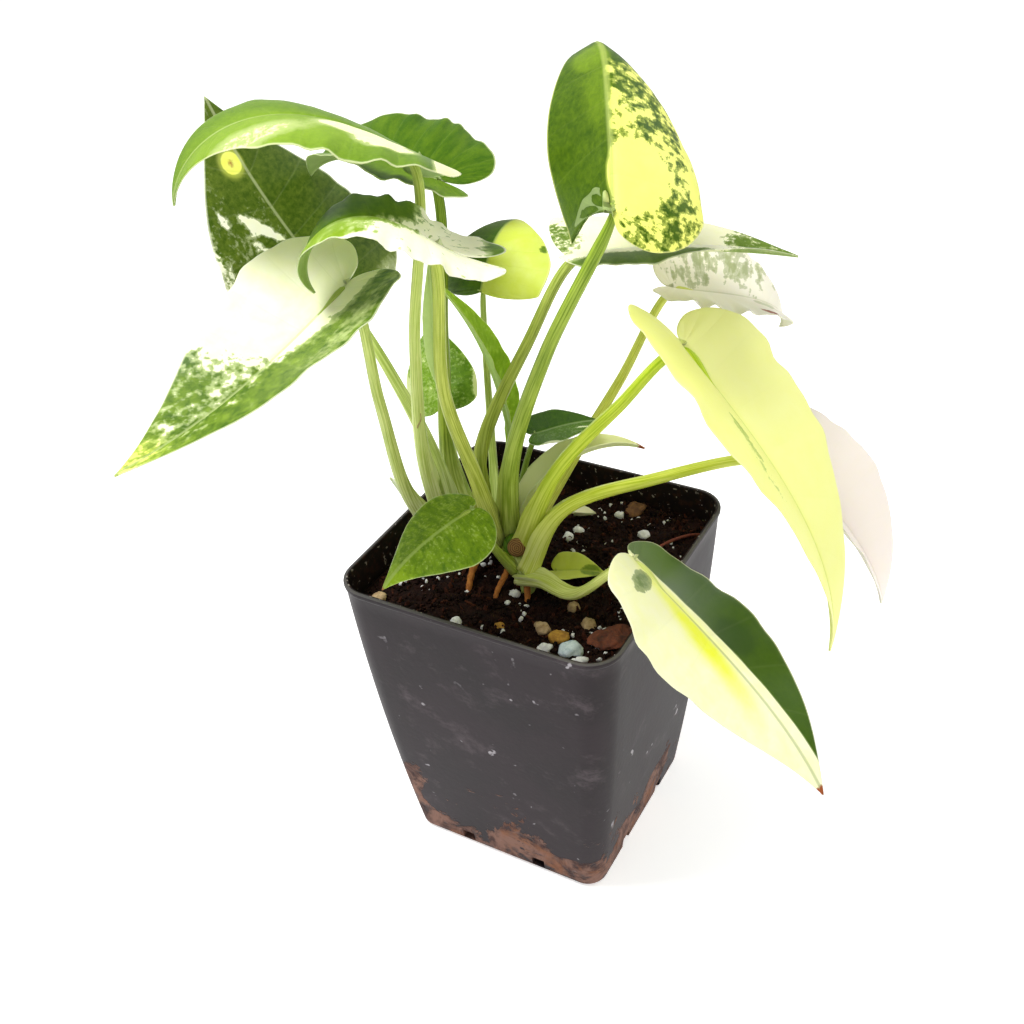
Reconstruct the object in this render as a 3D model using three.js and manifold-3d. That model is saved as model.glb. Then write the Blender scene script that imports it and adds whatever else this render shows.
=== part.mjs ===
// A small variegated creeping philodendron with heart-shaped leaves, growing in a square nursery pot.
// Millimetres, +Z up. The origin is the middle of the pot's underside, on the surface it stands on.
import * as THREE from "three";
import { mergeVertices } from "three/addons/utils/BufferGeometryUtils.js";
import Module from "manifold-3d";

const wasm = await Module();
wasm.setup();

// Pot: a thin square pot whose walls taper and bulge a little, with corner feet
const POT_HEIGHT = 119.3;
const RIM_HALF = 50;
const BASE_HALF = 38.4;
const RIM_CORNER = 11.5;
const BASE_CORNER = 7.7;
const WALL_BULGE = 1.2;
const WALL = 1.2;
const RIM_BEAD = 0.5;
const RIM_BAND = 2.2;
const FOOT_HEIGHT = 2.5;
const FLOOR_TOP = 4.1;
const FOOT_GAP = 17;
const PAD_RADIUS = 11;
const SLOT_WIDTH = 5;
const SLOT_TOP = 6;
const CORNER_STEPS = 5;

// Potting mix: fills the pot to a little below its rim
const CLEAR = 0.3;
const MIX_TOP = 108;
const MIX_RELIEF = 1.1;
const MIX_RINGS = 6;
const MIX_SPOKES = 28;

// Blades
const BLADE_THICKNESS = 0.8;
const RIB_DEPTH = 0.7;
const FRAME_STEPS = 24;
const LOBE_LENGTH = 0.2;
const VEIN_START = 0.33;
const VEIN_LEAN = 1.3;
const WAVE_SHIFT = 1.3;
const RIB_REACH = 5;

// Stalks: where one meets the midrib and where it ends under it, both in leaf lengths, how soon it
// thins, and the share of its length before it tapers off
const STALK_MEETS = 0.01;
const STALK_ENDS = 0.15;
const STALK_THINS = 1.7;
const STALK_ROUND = 0.9;

// Half outlines, x in leaf lengths from the petiole and y in half widths, from the notch to the tip
const HEART = [
  [0, 0], [-0.12, 0.08], [-0.2, 0.34], [-0.165, 0.66], [-0.04, 0.91], [0.14, 1],
  [0.34, 0.93], [0.55, 0.7], [0.74, 0.4], [0.88, 0.17], [1, 0],
];
const LANCE = [
  [0, 0], [0.01, 0.22], [0.08, 0.5], [0.2, 0.8], [0.36, 0.98], [0.5, 1],
  [0.64, 0.86], [0.78, 0.58], [0.89, 0.3], [0.96, 0.12], [1, 0],
];

// Leaves. at is where the petiole meets the blade; yaw, pitch and roll turn the blade there, and
// bend, sway and twist are what its midrib turns by on the way to the tip. lobes is how far the left
// and the right lobe reach back, in leaf lengths, and drop is how they sink. fold and cup are the
// rise of the left and the right half from the midrib and its change out to the margin. The stalk
// runs from the stem through its points to the blade, and its lowest stretch is its sheath.
const LEAVES = {
  leaf_arch: {
    at: [-25, -10, 252], yaw: 205, pitch: 30, roll: 26, length: 82, width: 64, lobes: [0.15, 0.15],
    drop: -10, bend: 115, bendPower: 1.8, sway: 10, fold: [4, 11], cup: [-30, -35], twist: -30, wave: 0.9,
    stalk: [[-36, -1, 114], [-37, -7, 147], [-33, -10, 192]],
    radii: [3, 1.5], sheath: 0.13, colour: 0x7fae2c,
  },
  leaf_back: {
    at: [-47, 32, 227], yaw: 195, pitch: 20, roll: 0, length: 51, width: 60, lobes: [0.25, 0.3],
    drop: 0, bend: 75, bendPower: 2, sway: -20, fold: [22, 32], cup: [-10, -35], twist: 0, wave: 0.9,
    stalk: [[-29, 2, 115], [-39, 10, 131], [-45, 23, 173]],
    radii: [3.2, 1.7], sheath: 0.14, colour: 0x4f7f1a,
  },
  leaf_heart: {
    at: [-76, 15, 186], yaw: 205, pitch: 55, roll: -30, length: 80, width: 68, lobes: [-0.05, 0.1],
    drop: 15, bend: 0, bendPower: 1.5, sway: -20, fold: [-15, 10], cup: [15, -25], twist: 0, wave: 0.7,
    stalk: [[-32, -3, 115], [-38, 1, 140], [-58, 8, 168]],
    radii: [3.4, 1.5], sheath: 0.2, colour: 0x4a7a1c,
  },
  leaf_lance: {
    at: [-34, -38, 224], yaw: 260, pitch: -20, roll: 12, length: 86, width: 54, lobes: [0.08, 0.15],
    drop: 5, bend: -20, bendPower: 1.5, sway: 0, fold: [0, 25], cup: [15, 10], twist: 0, wave: 0.8,
    stalk: [[-37, -5, 114], [-39, -16, 138], [-36, -28, 180]],
    radii: [2.8, 1.5], sheath: 0.12, colour: 0xa9c850,
  },
  leaf_bent: {
    at: [-8, -30, 237], yaw: 210, pitch: 39, roll: 0, length: 53, width: 50, lobes: [0.34, 0.38],
    drop: -20, bend: 165, bendPower: 1.6, sway: 10, fold: [18, -3], cup: [-20, -10], twist: 0, wave: 0.6,
    stalk: [[-13, -4, 117], [-12, -15, 150], [-14, -25, 187]],
    radii: [3, 1.7], sheath: 0.12, colour: 0xb9d468,
  },
  leaf_mottled: {
    at: [30, 0, 240], yaw: 115, pitch: 45, roll: -22, length: 95, width: 60, lobes: [-0.12, 0.12],
    drop: 0, bend: 115, bendPower: 2, sway: 15, fold: [-40, -22], cup: [-10, -50], twist: 50, wave: 0.8,
    stalk: [[-10, 0, 118], [-4, -5, 155], [10, -4, 195]],
    radii: [3.4, 2], sheath: 0.13, colour: 0xc8dc4a,
  },
  leaf_flat: {
    at: [1, 31, 209], yaw: 40, pitch: 0, roll: 0, length: 72, width: 55, lobes: [0.05, 0.08],
    drop: 10, bend: 10, bendPower: 1.2, sway: -20, fold: [10, 32], cup: [-15, -35], twist: 0, wave: 0.8,
    stalk: [[-22, 2, 116], [-20, 2, 149], [-9, 18, 183]],
    radii: [3, 1.7], sheath: 0.14, colour: 0xdfe6b0,
  },
  leaf_cream: {
    at: [22, 62, 188], yaw: 30, pitch: -12, roll: 20, length: 52, width: 50, lobes: [0.12, 0.15],
    drop: 10, bend: 100, bendPower: 3, sway: 10, fold: [0, 35], cup: [20, 0], twist: 10, wave: 0.7,
    stalk: [[-5, 1, 117], [0, 22, 133], [9, 48, 157]],
    radii: [2.8, 1.4], sheath: 0.13, colour: 0xf3efd8,
  },
  leaf_yellow: {
    at: [42, 23, 190], yaw: -20, pitch: -35, roll: -35, length: 112, width: 62, lobes: [0.08, 0.15],
    drop: 20, bend: 50, bendPower: 2, sway: 30, fold: [30, 4], cup: [0, -10], twist: 0, wave: 0.7,
    stalk: [[-3, -4, 117], [8, 1, 148], [25, 12, 170]],
    radii: [3.4, 1.7], sheath: 0.13, colour: 0xf4f78e,
  },
  leaf_white: {
    at: [60, 50, 139], yaw: -5, pitch: -12, roll: 0, length: 80, width: 58, lobes: [0.1, 0.05],
    drop: 30, bend: 80, bendPower: 0.8, sway: 20, fold: [20, 30], cup: [-20, 20], twist: 15, wave: 0.6,
    stalk: [[2, -10, 113], [10, 0, 134], [31, 26, 136]],
    radii: [3, 1.8], sheath: 0.13, colour: 0xfbf3ea,
  },
  leaf_front: {
    at: [46, -22, 141], yaw: -8, pitch: -35, roll: -45, length: 88, width: 66, lobes: [0.05, 0.05],
    drop: 10, bend: 20, bendPower: 3, sway: -10, fold: [5, -5], cup: [10, -20], twist: 45, wave: 0.6,
    stalk: [[0, -11, 111], [10, -14, 115], [25, -21, 120]],
    radii: [2.9, 1.9], flat: 1.35, sheath: 0.12, colour: 0x8aa23c,
  },
  leaf_low: {
    at: [-2, -35, 154], yaw: 255, pitch: 0, roll: -25, length: 38, width: 30, lobes: [0.15, 0.15],
    drop: 10, bend: 60, bendPower: 1.5, sway: 0, fold: [-30, -30], cup: [0, 0], twist: 10, wave: 0.3,
    stalk: [[-3, -11, 113], [-4, -20, 128]],
    radii: [1.9, 1], sheath: 0.12, colour: 0x8bb83a,
  },
  leaf_middle: {
    at: [-30, 26, 194], yaw: 95, pitch: 55, roll: -20, length: 38, width: 47, lobes: [0.05, 0.05],
    drop: 20, bend: 95, bendPower: 1.5, sway: 10, fold: [-10, -10], cup: [-10, 0], twist: 20, wave: 0.4,
    stalk: [[-18, 5, 116], [-30, 25, 140]],
    radii: [1.9, 1], sheath: 0.2, colour: 0x9cc046,
  },
  leaf_round: {
    at: [-47, 21, 150], yaw: 130, pitch: 50, roll: -30, length: 32, width: 28, lobes: [0.1, 0.1],
    drop: 10, bend: 30, bendPower: 1.5, sway: 0, fold: [-5, 0], cup: [-20, -20], twist: 20, wave: 0.3,
    stalk: [[-25, 4, 116], [-40, 16, 131]],
    radii: [1.9, 1], sheath: 0.3, colour: 0x94bb4c,
  },
  leaf_small: {
    at: [-4, 11, 154], yaw: 40, pitch: 10, roll: -5, length: 22, width: 24, lobes: [0.15, 0.15],
    drop: 10, bend: 20, bendPower: 1.5, sway: 0, fold: [0, 5], cup: [5, 5], twist: 10, wave: 0.2,
    stalk: [[-9, 4, 117], [-9, 8, 135]],
    radii: [1.6, 0.9], sheath: 0.4, colour: 0x3f7a1c,
  },
  leaf_baby: {
    at: [9, -3, 111], yaw: 15, pitch: 10, roll: 0, length: 17, width: 16, lobes: [0.15, 0.15],
    drop: 15, bend: 20, bendPower: 1.5, sway: 0, fold: [15, 15], cup: [0, 5], twist: 5, wave: 0.2,
    stalk: [[3, -9, 111], [6, -6, 111]],
    radii: [1.4, 0.8], sheath: 0.25, colour: 0xd3de7c,
  },
  leaf_rolled: {
    outline: LANCE,
    at: [-16, 17, 144], yaw: 182, pitch: 82, roll: 0, length: 62, width: 12, lobes: [0, 0],
    drop: 0, bend: 40, bendPower: 1.5, sway: 0, fold: [20, 30], cup: [40, 50], twist: 10, wave: 0,
    stalk: [[-13, 5, 117], [-16, 13, 131]],
    radii: [2.4, 1.5], sheath: 0.35, colour: 0x8fc832,
  },
};

// Sheath leaves that grow from the crown, shaped like narrow blades
const SHEATHS = [
  {
    at: [-8, 1, 121], yaw: 48, pitch: 75, roll: 0, length: 60, width: 13, drop: 0, bend: 110,
    bendPower: 1, sway: 0, fold: [38, 38], cup: [10, 10], twist: 0,
  },
  {
    at: [-41, -8, 119], yaw: 205, pitch: 72, roll: 30, length: 22, width: 8, drop: 0, bend: 10,
    bendPower: 1, sway: 0, fold: [30, 30], cup: [20, 20], twist: 0,
  },
  {
    at: [-38, 0, 117], yaw: 200, pitch: 78, roll: 0, length: 19, width: 4.5, drop: 0, bend: -5,
    bendPower: 1, sway: 0, fold: [30, 30], cup: [20, 20], twist: 0,
  },
];

// Stem: creeps over the mix from the back left and lifts its cut end at the front right
const STEM_ROUTE = [[-42, -4, 109], [-30, -1, 112], [-18, 1, 114], [-9, -1, 116], [-4, -6, 119]];
const STEM_RADIUS = 4.4;
const STUB_ROUTE = [[-5, -4, 118], [-3.4, -7.4, 120]];
const STUB_RADIUS = 3.2;
const NODE_ROUTE = [[-9, -2, 115], [-2, -8, 113], [2, -11, 110], [3, -13, 104]];
const NODE_RADIUS = 4;
const ROOTS = [
  { route: [[-16, -2, 113], [-17, -12, 113], [-15, -21, 109], [-14, -24, 100]], radius: 1.5 },
  { route: [[-6, -6, 113], [-5, -14, 112], [-5, -20, 109], [-5, -23, 100]], radius: 1.2 },
  { route: [[1, -10, 111], [4, -15, 109], [5, -17, 107], [5, -19, 100]], radius: 1.3 },
  { route: [[-34, -1, 110], [-36, 4, 107], [-37, 7, 98]], radius: 1.3 },
];
const ROOT_END = 0.55;

// Stones, perlite and bark that lie in the mix: [x, y, radius, flatness]
const LUMPS = [
  [26, 30, 2, 0.9], [13, 38, 1.7, 0.9], [17, 43, 3.6, 0.5], [29, -20, 2.6, 0.7], [17, -29, 2.6, 0.8],
  [24, -31, 3.2, 0.7], [30, -35, 3.6, 0.8], [21, -15, 2.4, 0.8], [2, 19, 2.2, 0.8], [4, 23, 1.8, 0.8],
  [0, -16.5, 1.8, 0.8], [-40, -38, 2.6, 0.8], [-10, -38, 2, 0.8], [4, -34, 1.6, 0.8],
  [22, -37, 2.1, 0.8], [35, -38, 2.1, 0.8], [2, 31, 4.2, 0.35],
];
const DRY_ROOT = { route: [[31, 23, 107], [36, 30, 109], [41, 37, 108.5], [45, 41, 107]], radius: 0.9 };
const BARK = { at: [39, -24, 109], size: [15, 9, 3], turn: 55 };

const rad = THREE.MathUtils.degToRad;
const point = (xyz) => new THREE.Vector3(...xyz);

// A closed geometry as a manifold-3d solid
function toSolid(positions, corners) {
  const bare = new THREE.BufferGeometry();
  bare.setAttribute("position", new THREE.Float32BufferAttribute(positions, 3));
  if (corners) bare.setIndex(corners);
  const merged = mergeVertices(bare, 1e-3);
  const joined = merged.index.array;
  const kept = [];
  for (let i = 0; i < joined.length; i += 3) {
    const [a, b, c] = [joined[i], joined[i + 1], joined[i + 2]];
    if (a !== b && b !== c && c !== a) kept.push(a, b, c);
  }
  return new wasm.Manifold(
    new wasm.Mesh({
      numProp: 3,
      vertProperties: merged.attributes.position.array,
      triVerts: new Uint32Array(kept),
    }),
  );
}

// A manifold-3d solid as a three.js geometry
function toGeometry(solid) {
  const mesh = solid.getMesh();
  const geometry = new THREE.BufferGeometry();
  geometry.setAttribute("position", new THREE.Float32BufferAttribute(mesh.vertProperties, 3));
  geometry.setIndex(new THREE.BufferAttribute(mesh.triVerts, 1));
  geometry.computeVertexNormals();
  return geometry;
}

// A solid through closed rings of points that run anticlockwise seen from the last ring's side
function loft(rings) {
  const count = rings[0].length;
  const positions = rings.flat().flatMap((p) => p.toArray());
  const corners = [];
  for (let k = 0; k < rings.length - 1; k++) {
    for (let j = 0; j < count; j++) {
      const a = k * count + j;
      const b = k * count + ((j + 1) % count);
      corners.push(a, b, b + count, a, b + count, a + count);
    }
  }
  for (const [ring, first] of [[rings[0], 0], [rings.at(-1), (rings.length - 1) * count]]) {
    const middle = positions.length / 3;
    const centre = ring.reduce((sum, p) => sum.add(p), new THREE.Vector3()).divideScalar(count);
    positions.push(...centre.toArray());
    for (let j = 0; j < count; j++) {
      const a = first + j;
      const b = first + ((j + 1) % count);
      corners.push(middle, ...(first ? [a, b] : [b, a]));
    }
  }
  return toSolid(positions, corners);
}

// A tube along a smooth route, thicker or thinner by radiusAt, and wider than high by flat
function tube(route, radiusAt, { sides = 5, steps = 7, from = 0, to = 1, upright = true, flat = 1 } = {}) {
  const curve = new THREE.CatmullRomCurve3(route);
  const reference = upright ? new THREE.Vector3(0, 1, 0) : new THREE.Vector3(0, 0, 1);
  const rings = [];
  for (let k = 0; k <= steps; k++) {
    const s = Math.min(from + ((to - from) * k) / steps, 1);
    const centre = curve.getPointAt(s);
    const along = curve.getTangentAt(s);
    const side = new THREE.Vector3().crossVectors(reference, along).normalize();
    const up = new THREE.Vector3().crossVectors(along, side);
    const ring = [];
    for (let j = 0; j < sides; j++) {
      const angle = (2 * Math.PI * j) / sides;
      ring.push(
        centre.clone()
          .addScaledVector(side, Math.cos(angle) * radiusAt(s) * flat)
          .addScaledVector(up, (Math.sin(angle) * radiusAt(s)) / flat),
      );
    }
    rings.push(ring);
  }
  return loft(rings);
}

// A point on the Catmull-Rom curve through an outline, 0 at its first point and 1 at its last
function alongOutline(outline, fraction) {
  const last = outline.length - 1;
  const k = Math.min(Math.floor(fraction * last), last - 1);
  const t = fraction * last - k;
  const before = (i, axis) =>
    i < 0 ? 2 * outline[0][axis] - outline[1][axis]
    : i > last ? 2 * outline[last][axis] - outline[last - 1][axis]
    : outline[i][axis];
  return [0, 1].map((axis) => {
    const [p0, p1, p2, p3] = [k - 1, k, k + 1, k + 2].map((i) => before(i, axis));
    return 0.5 * (2 * p1 + (p2 - p0) * t + (2 * p0 - 5 * p1 + 4 * p2 - p3) * t ** 2
      + (3 * p1 - p0 - 3 * p2 + p3) * t ** 3);
  });
}

// The midrib: its points, with the directions along it, up from the blade and to its left
function midribFrames(leaf) {
  const [yaw, pitch, roll] = [leaf.yaw, leaf.pitch, leaf.roll].map(rad);
  const along = new THREE.Vector3(
    Math.cos(yaw) * Math.cos(pitch), Math.sin(yaw) * Math.cos(pitch), Math.sin(pitch),
  );
  const up = new THREE.Vector3(
    -Math.cos(yaw) * Math.sin(pitch), -Math.sin(yaw) * Math.sin(pitch), Math.cos(pitch),
  ).applyAxisAngle(along, roll);
  const left = new THREE.Vector3().crossVectors(up, along);
  const position = point(leaf.at);
  const frames = [];
  const keep = () => frames.push({
    position: position.clone(), along: along.clone(), up: up.clone(), left: left.clone(),
  });
  keep();
  for (let i = 0; i < FRAME_STEPS; i++) {
    position.addScaledVector(along, leaf.length / FRAME_STEPS);
    const share = ((i + 1) / FRAME_STEPS) ** leaf.bendPower - (i / FRAME_STEPS) ** leaf.bendPower;
    along.applyAxisAngle(left, rad(leaf.bend) * share);
    up.applyAxisAngle(left, rad(leaf.bend) * share);
    along.applyAxisAngle(up, rad(leaf.sway) / FRAME_STEPS);
    up.applyAxisAngle(along, rad(leaf.twist) / FRAME_STEPS);
    left.crossVectors(up, along);
    keep();
  }
  return frames;
}

// The frame at a distance along the midrib
function frameAt(leaf, frames, x) {
  const u = THREE.MathUtils.clamp(x / leaf.length, 0, 1) * FRAME_STEPS;
  const k = Math.min(Math.floor(u), FRAME_STEPS - 1);
  const [a, b] = [frames[k], frames[k + 1]];
  const mix = (name) => a[name].clone().lerp(b[name], u - k);
  return { position: mix("position"), along: mix("along"), up: mix("up"), left: mix("left") };
}

// A point of the blade, x along the midrib and y out from it, on the left (1) or right (-1)
function bladePoint(leaf, frames, x, y, side) {
  const frame = frameAt(leaf, frames, x);
  const half = leaf.width / 2;
  const back = Math.max(-x, 0);
  const sink = (rad(leaf.drop) * back) / (LOBE_LENGTH * leaf.length) / 2;
  const which = side > 0 ? 0 : 1;
  const start = rad(leaf.fold[which]);
  const turn = rad(leaf.cup[which] || 0.1) / half;
  const end = start + turn * y;
  const out = (Math.sin(end) - Math.sin(start)) / turn;
  const rise = (Math.cos(start) - Math.cos(end)) / turn;
  const phase = (5 * Math.PI * x) / leaf.length + (side > 0 ? WAVE_SHIFT : 0);
  const ripple = (leaf.wave ?? 0) * Math.sin(phase) * (y / half) ** 2;
  return frame.position
    .addScaledVector(frame.along, -back * Math.cos(sink))
    .addScaledVector(frame.up, rise + ripple - back * Math.sin(sink))
    .addScaledVector(frame.left, side * out);
}

// A blade: one net of triangles from the midrib to the margin, used on both faces
function blade(leaf, { veins = 14, across = 3 } = {}) {
  const frames = midribFrames(leaf);
  const outline = leaf.outline ?? HEART;
  const start = leaf.outline ? 0 : VEIN_START;
  const places = [];
  const found = new Map();
  const ribShare = (x, y) => Math.max(0, 1 - y / RIB_REACH) * Math.max(0, 1 - x / leaf.length);
  const place = (x, y, side) => {
    const p = bladePoint(leaf, frames, x, y, side);
    const key = p.toArray().map((v) => Math.round(v * 500)).join();
    if (!found.has(key)) {
      found.set(key, places.length);
      places.push({ p, rib: ribShare(x, y), normal: new THREE.Vector3() });
    }
    return found.get(key);
  };
  const faces = [];
  for (const side of [1, -1]) {
    const grid = [];
    for (let i = 0; i <= veins; i++) {
      const a = i / veins;
      const [u, v] = alongOutline(outline, a);
      const lobe = leaf.lobes?.[side > 0 ? 0 : 1] ?? LOBE_LENGTH;
      const edgeX = (u < 0 ? (u * lobe) / LOBE_LENGTH : u) * leaf.length;
      const edgeY = (Math.max(v, 0) * leaf.width) / 2;
      const ribX = Math.max(0, (a - start) / (1 - start)) ** VEIN_LEAN * leaf.length;
      const row = [];
      for (let j = 0; j <= across; j++) {
        const t = j / across;
        row.push(place(ribX + (edgeX - ribX) * t, edgeY * t, side));
      }
      grid.push(row);
    }
    for (let i = 0; i < veins; i++) {
      for (let j = 0; j < across; j++) {
        const [a, b, c, d] = [grid[i][j], grid[i + 1][j], grid[i + 1][j + 1], grid[i][j + 1]];
        for (const face of [[a, b, c], [a, c, d]]) {
          if (new Set(face).size < 3) continue;
          faces.push(side > 0 ? face : [face[0], face[2], face[1]]);
        }
      }
    }
  }
  const edges = new Map();
  for (const [a, b, c] of faces) {
    const across1 = places[b].p.clone().sub(places[a].p);
    const across2 = places[c].p.clone().sub(places[a].p);
    const normal = across1.cross(across2);
    for (const i of [a, b, c]) places[i].normal.add(normal);
    for (const [from, to] of [[a, b], [b, c], [c, a]]) edges.set(from + "," + to, [from, to]);
  }
  const positions = [];
  for (const { p, normal } of places) {
    normal.normalize();
    positions.push(...p.clone().addScaledVector(normal, BLADE_THICKNESS / 2).toArray());
  }
  for (const { p, normal, rib } of places) {
    positions.push(...p.clone().addScaledVector(normal, -BLADE_THICKNESS / 2 - rib * RIB_DEPTH).toArray());
  }
  const under = places.length;
  const corners = [];
  for (const [a, b, c] of faces) corners.push(a, b, c, a + under, c + under, b + under);
  for (const [from, to] of edges.values()) {
    if (edges.has(to + "," + from)) continue;
    corners.push(from, from + under, to + under, from, to + under, to);
  }
  return toSolid(positions, corners);
}

// A joined solid without the hollows that joining seals inside it
function outerBody(solid) {
  return solid.decompose().reduce((best, body) => (body.volume() > best.volume() ? body : best));
}

// The route of a leaf's stalk: through its points, then under the blade and a little way along it
function stalkRoute(leaf) {
  const frames = midribFrames(leaf);
  const below = (x, depth) => {
    const frame = frameAt(leaf, frames, x);
    return frame.position.addScaledVector(frame.up, -depth);
  };
  return [
    ...leaf.stalk.map(point),
    below(STALK_MEETS * leaf.length, leaf.radii[1]),
    below(STALK_ENDS * leaf.length, leaf.radii[1] / 2),
  ];
}

function stalkRadius(leaf) {
  const [base, top] = leaf.radii;
  return (s) => {
    if (s < STALK_ROUND) return top + (base - top) * (1 - s) ** STALK_THINS;
    return top * (1 - (s - STALK_ROUND) / (2 * (1 - STALK_ROUND)));
  };
}

// A leaf with the part of its stalk above the sheath
function leafSolid(leaf) {
  const route = stalkRoute(leaf);
  const length = new THREE.CatmullRomCurve3(route).getLength();
  const small = leaf.length < 50;
  const stalk = tube(route, stalkRadius(leaf), {
    from: leaf.sheath + CLEAR / length,
    steps: small ? 5 : 9,
    upright: !leaf.flat,
    flat: leaf.flat,
  });
  return outerBody(blade(leaf, small ? { veins: 12, across: 2 } : {}).add(stalk));
}

// The sheathed foot of a leaf's stalk, which is part of the crown
function sheathSolid(leaf) {
  return tube(stalkRoute(leaf), stalkRadius(leaf), {
    to: leaf.sheath,
    steps: 3,
    upright: !leaf.flat,
    flat: leaf.flat,
  });
}

// What reaches down into the mix, made larger by extra to cut its hole
function groundedParts(extra) {
  const parts = [
    tube(STEM_ROUTE.map(point), () => STEM_RADIUS + extra, { sides: 8 }),
    tube(NODE_ROUTE.map(point), (s) => NODE_RADIUS * (1 - 0.4 * s) + extra, { upright: false }),
  ];
  for (const { route, radius } of ROOTS) {
    const radiusAt = (s) => radius * (1 - (1 - ROOT_END) * s) + extra;
    parts.push(tube(route.map(point), radiusAt, { upright: false }));
  }
  return parts;
}

const join = (solids) => solids.reduce((whole, next) => whole.add(next));

function crownSolid() {
  const stub = tube(STUB_ROUTE.map(point), () => STUB_RADIUS, { sides: 8, steps: 1 });
  return join([
    ...groundedParts(0),
    stub,
    ...SHEATHS.map((sheath) => blade({ ...sheath, outline: LANCE }, { veins: 10, across: 2 })),
    ...Object.values(LEAVES).map(sheathSolid),
  ]);
}

// A square ring with round corners, anticlockwise seen from above
function squareRing(half, corner, z) {
  const ring = [];
  for (let quarter = 0; quarter < 4; quarter++) {
    const middle = new THREE.Vector2(half - corner, half - corner)
      .rotateAround(new THREE.Vector2(), (quarter * Math.PI) / 2);
    for (let j = 0; j <= CORNER_STEPS; j++) {
      const angle = ((quarter + j / CORNER_STEPS) * Math.PI) / 2;
      ring.push(new THREE.Vector3(
        middle.x + corner * Math.cos(angle), middle.y + corner * Math.sin(angle), z,
      ));
    }
  }
  return ring;
}

// The pot's wall at a height, moved inwards by inset
function wallRing(z, inset) {
  const s = THREE.MathUtils.clamp(z / POT_HEIGHT, 0, 1);
  const half = THREE.MathUtils.lerp(BASE_HALF, RIM_HALF, s) + 4 * WALL_BULGE * s * (1 - s);
  const corner = THREE.MathUtils.lerp(BASE_CORNER, RIM_CORNER, s);
  return squareRing(half - inset, Math.max(corner - inset, 2), z);
}

function box(width, depth, height, x, y, z) {
  const geometry = new THREE.BoxGeometry(width, depth, height).translate(x, y, z);
  return toSolid(Array.from(geometry.attributes.position.array), Array.from(geometry.index.array));
}

function potSolid() {
  const bandBottom = POT_HEIGHT - RIM_BAND;
  const outerHeights = [0, 12, 30, 50, 70, 90, 106, bandBottom];
  const outer = outerHeights.map((z) => wallRing(z, RIM_BEAD));
  outer.push(wallRing(bandBottom + 0.4, 0), wallRing(POT_HEIGHT, 0));
  const innerHeights = [FLOOR_TOP, 12, 30, 50, 70, 90, 106, POT_HEIGHT];
  const inner = innerHeights.map((z) => wallRing(z, RIM_BEAD + WALL));
  inner.push(wallRing(POT_HEIGHT, RIM_BEAD + WALL).map((p) => p.setZ(POT_HEIGHT + 5)));
  let pot = loft(outer).subtract(loft(inner));
  const span = 2.4 * BASE_HALF;
  pot = pot.subtract(box(span, 2 * FOOT_GAP, 2 * FOOT_HEIGHT, 0, 0, 0));
  pot = pot.subtract(box(2 * FOOT_GAP, span, 2 * FOOT_HEIGHT, 0, 0, 0));
  const pad = new THREE.CylinderGeometry(PAD_RADIUS, PAD_RADIUS, FOOT_HEIGHT + 0.4, 24)
    .rotateX(Math.PI / 2)
    .translate(0, 0, (FOOT_HEIGHT + 0.4) / 2);
  pot = pot.add(toSolid(Array.from(pad.attributes.position.array), Array.from(pad.index.array)));
  const slotHeight = SLOT_TOP - FOOT_HEIGHT + 1;
  for (const side of [-1, 1]) {
    for (const end of [-1, 1]) {
      const offset = end * (FOOT_GAP - SLOT_WIDTH / 2);
      const middle = SLOT_TOP - slotHeight / 2;
      pot = pot.subtract(box(5, SLOT_WIDTH, slotHeight, side * (BASE_HALF - 1), offset, middle));
      pot = pot.subtract(box(SLOT_WIDTH, 5, slotHeight, offset, side * (BASE_HALF - 1), middle));
    }
  }
  return pot;
}

// The height of the mix's surface: low humps of different lengths
function mixHeight(x, y) {
  const humps = Math.sin(x / 4.3 + 1) * Math.cos(y / 5.1) + 0.6 * Math.sin((x + 1.7 * y) / 3.1)
    + 0.5 * Math.cos((x - y) / 2.3);
  return MIX_TOP + (MIX_RELIEF * humps) / 2;
}

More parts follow.
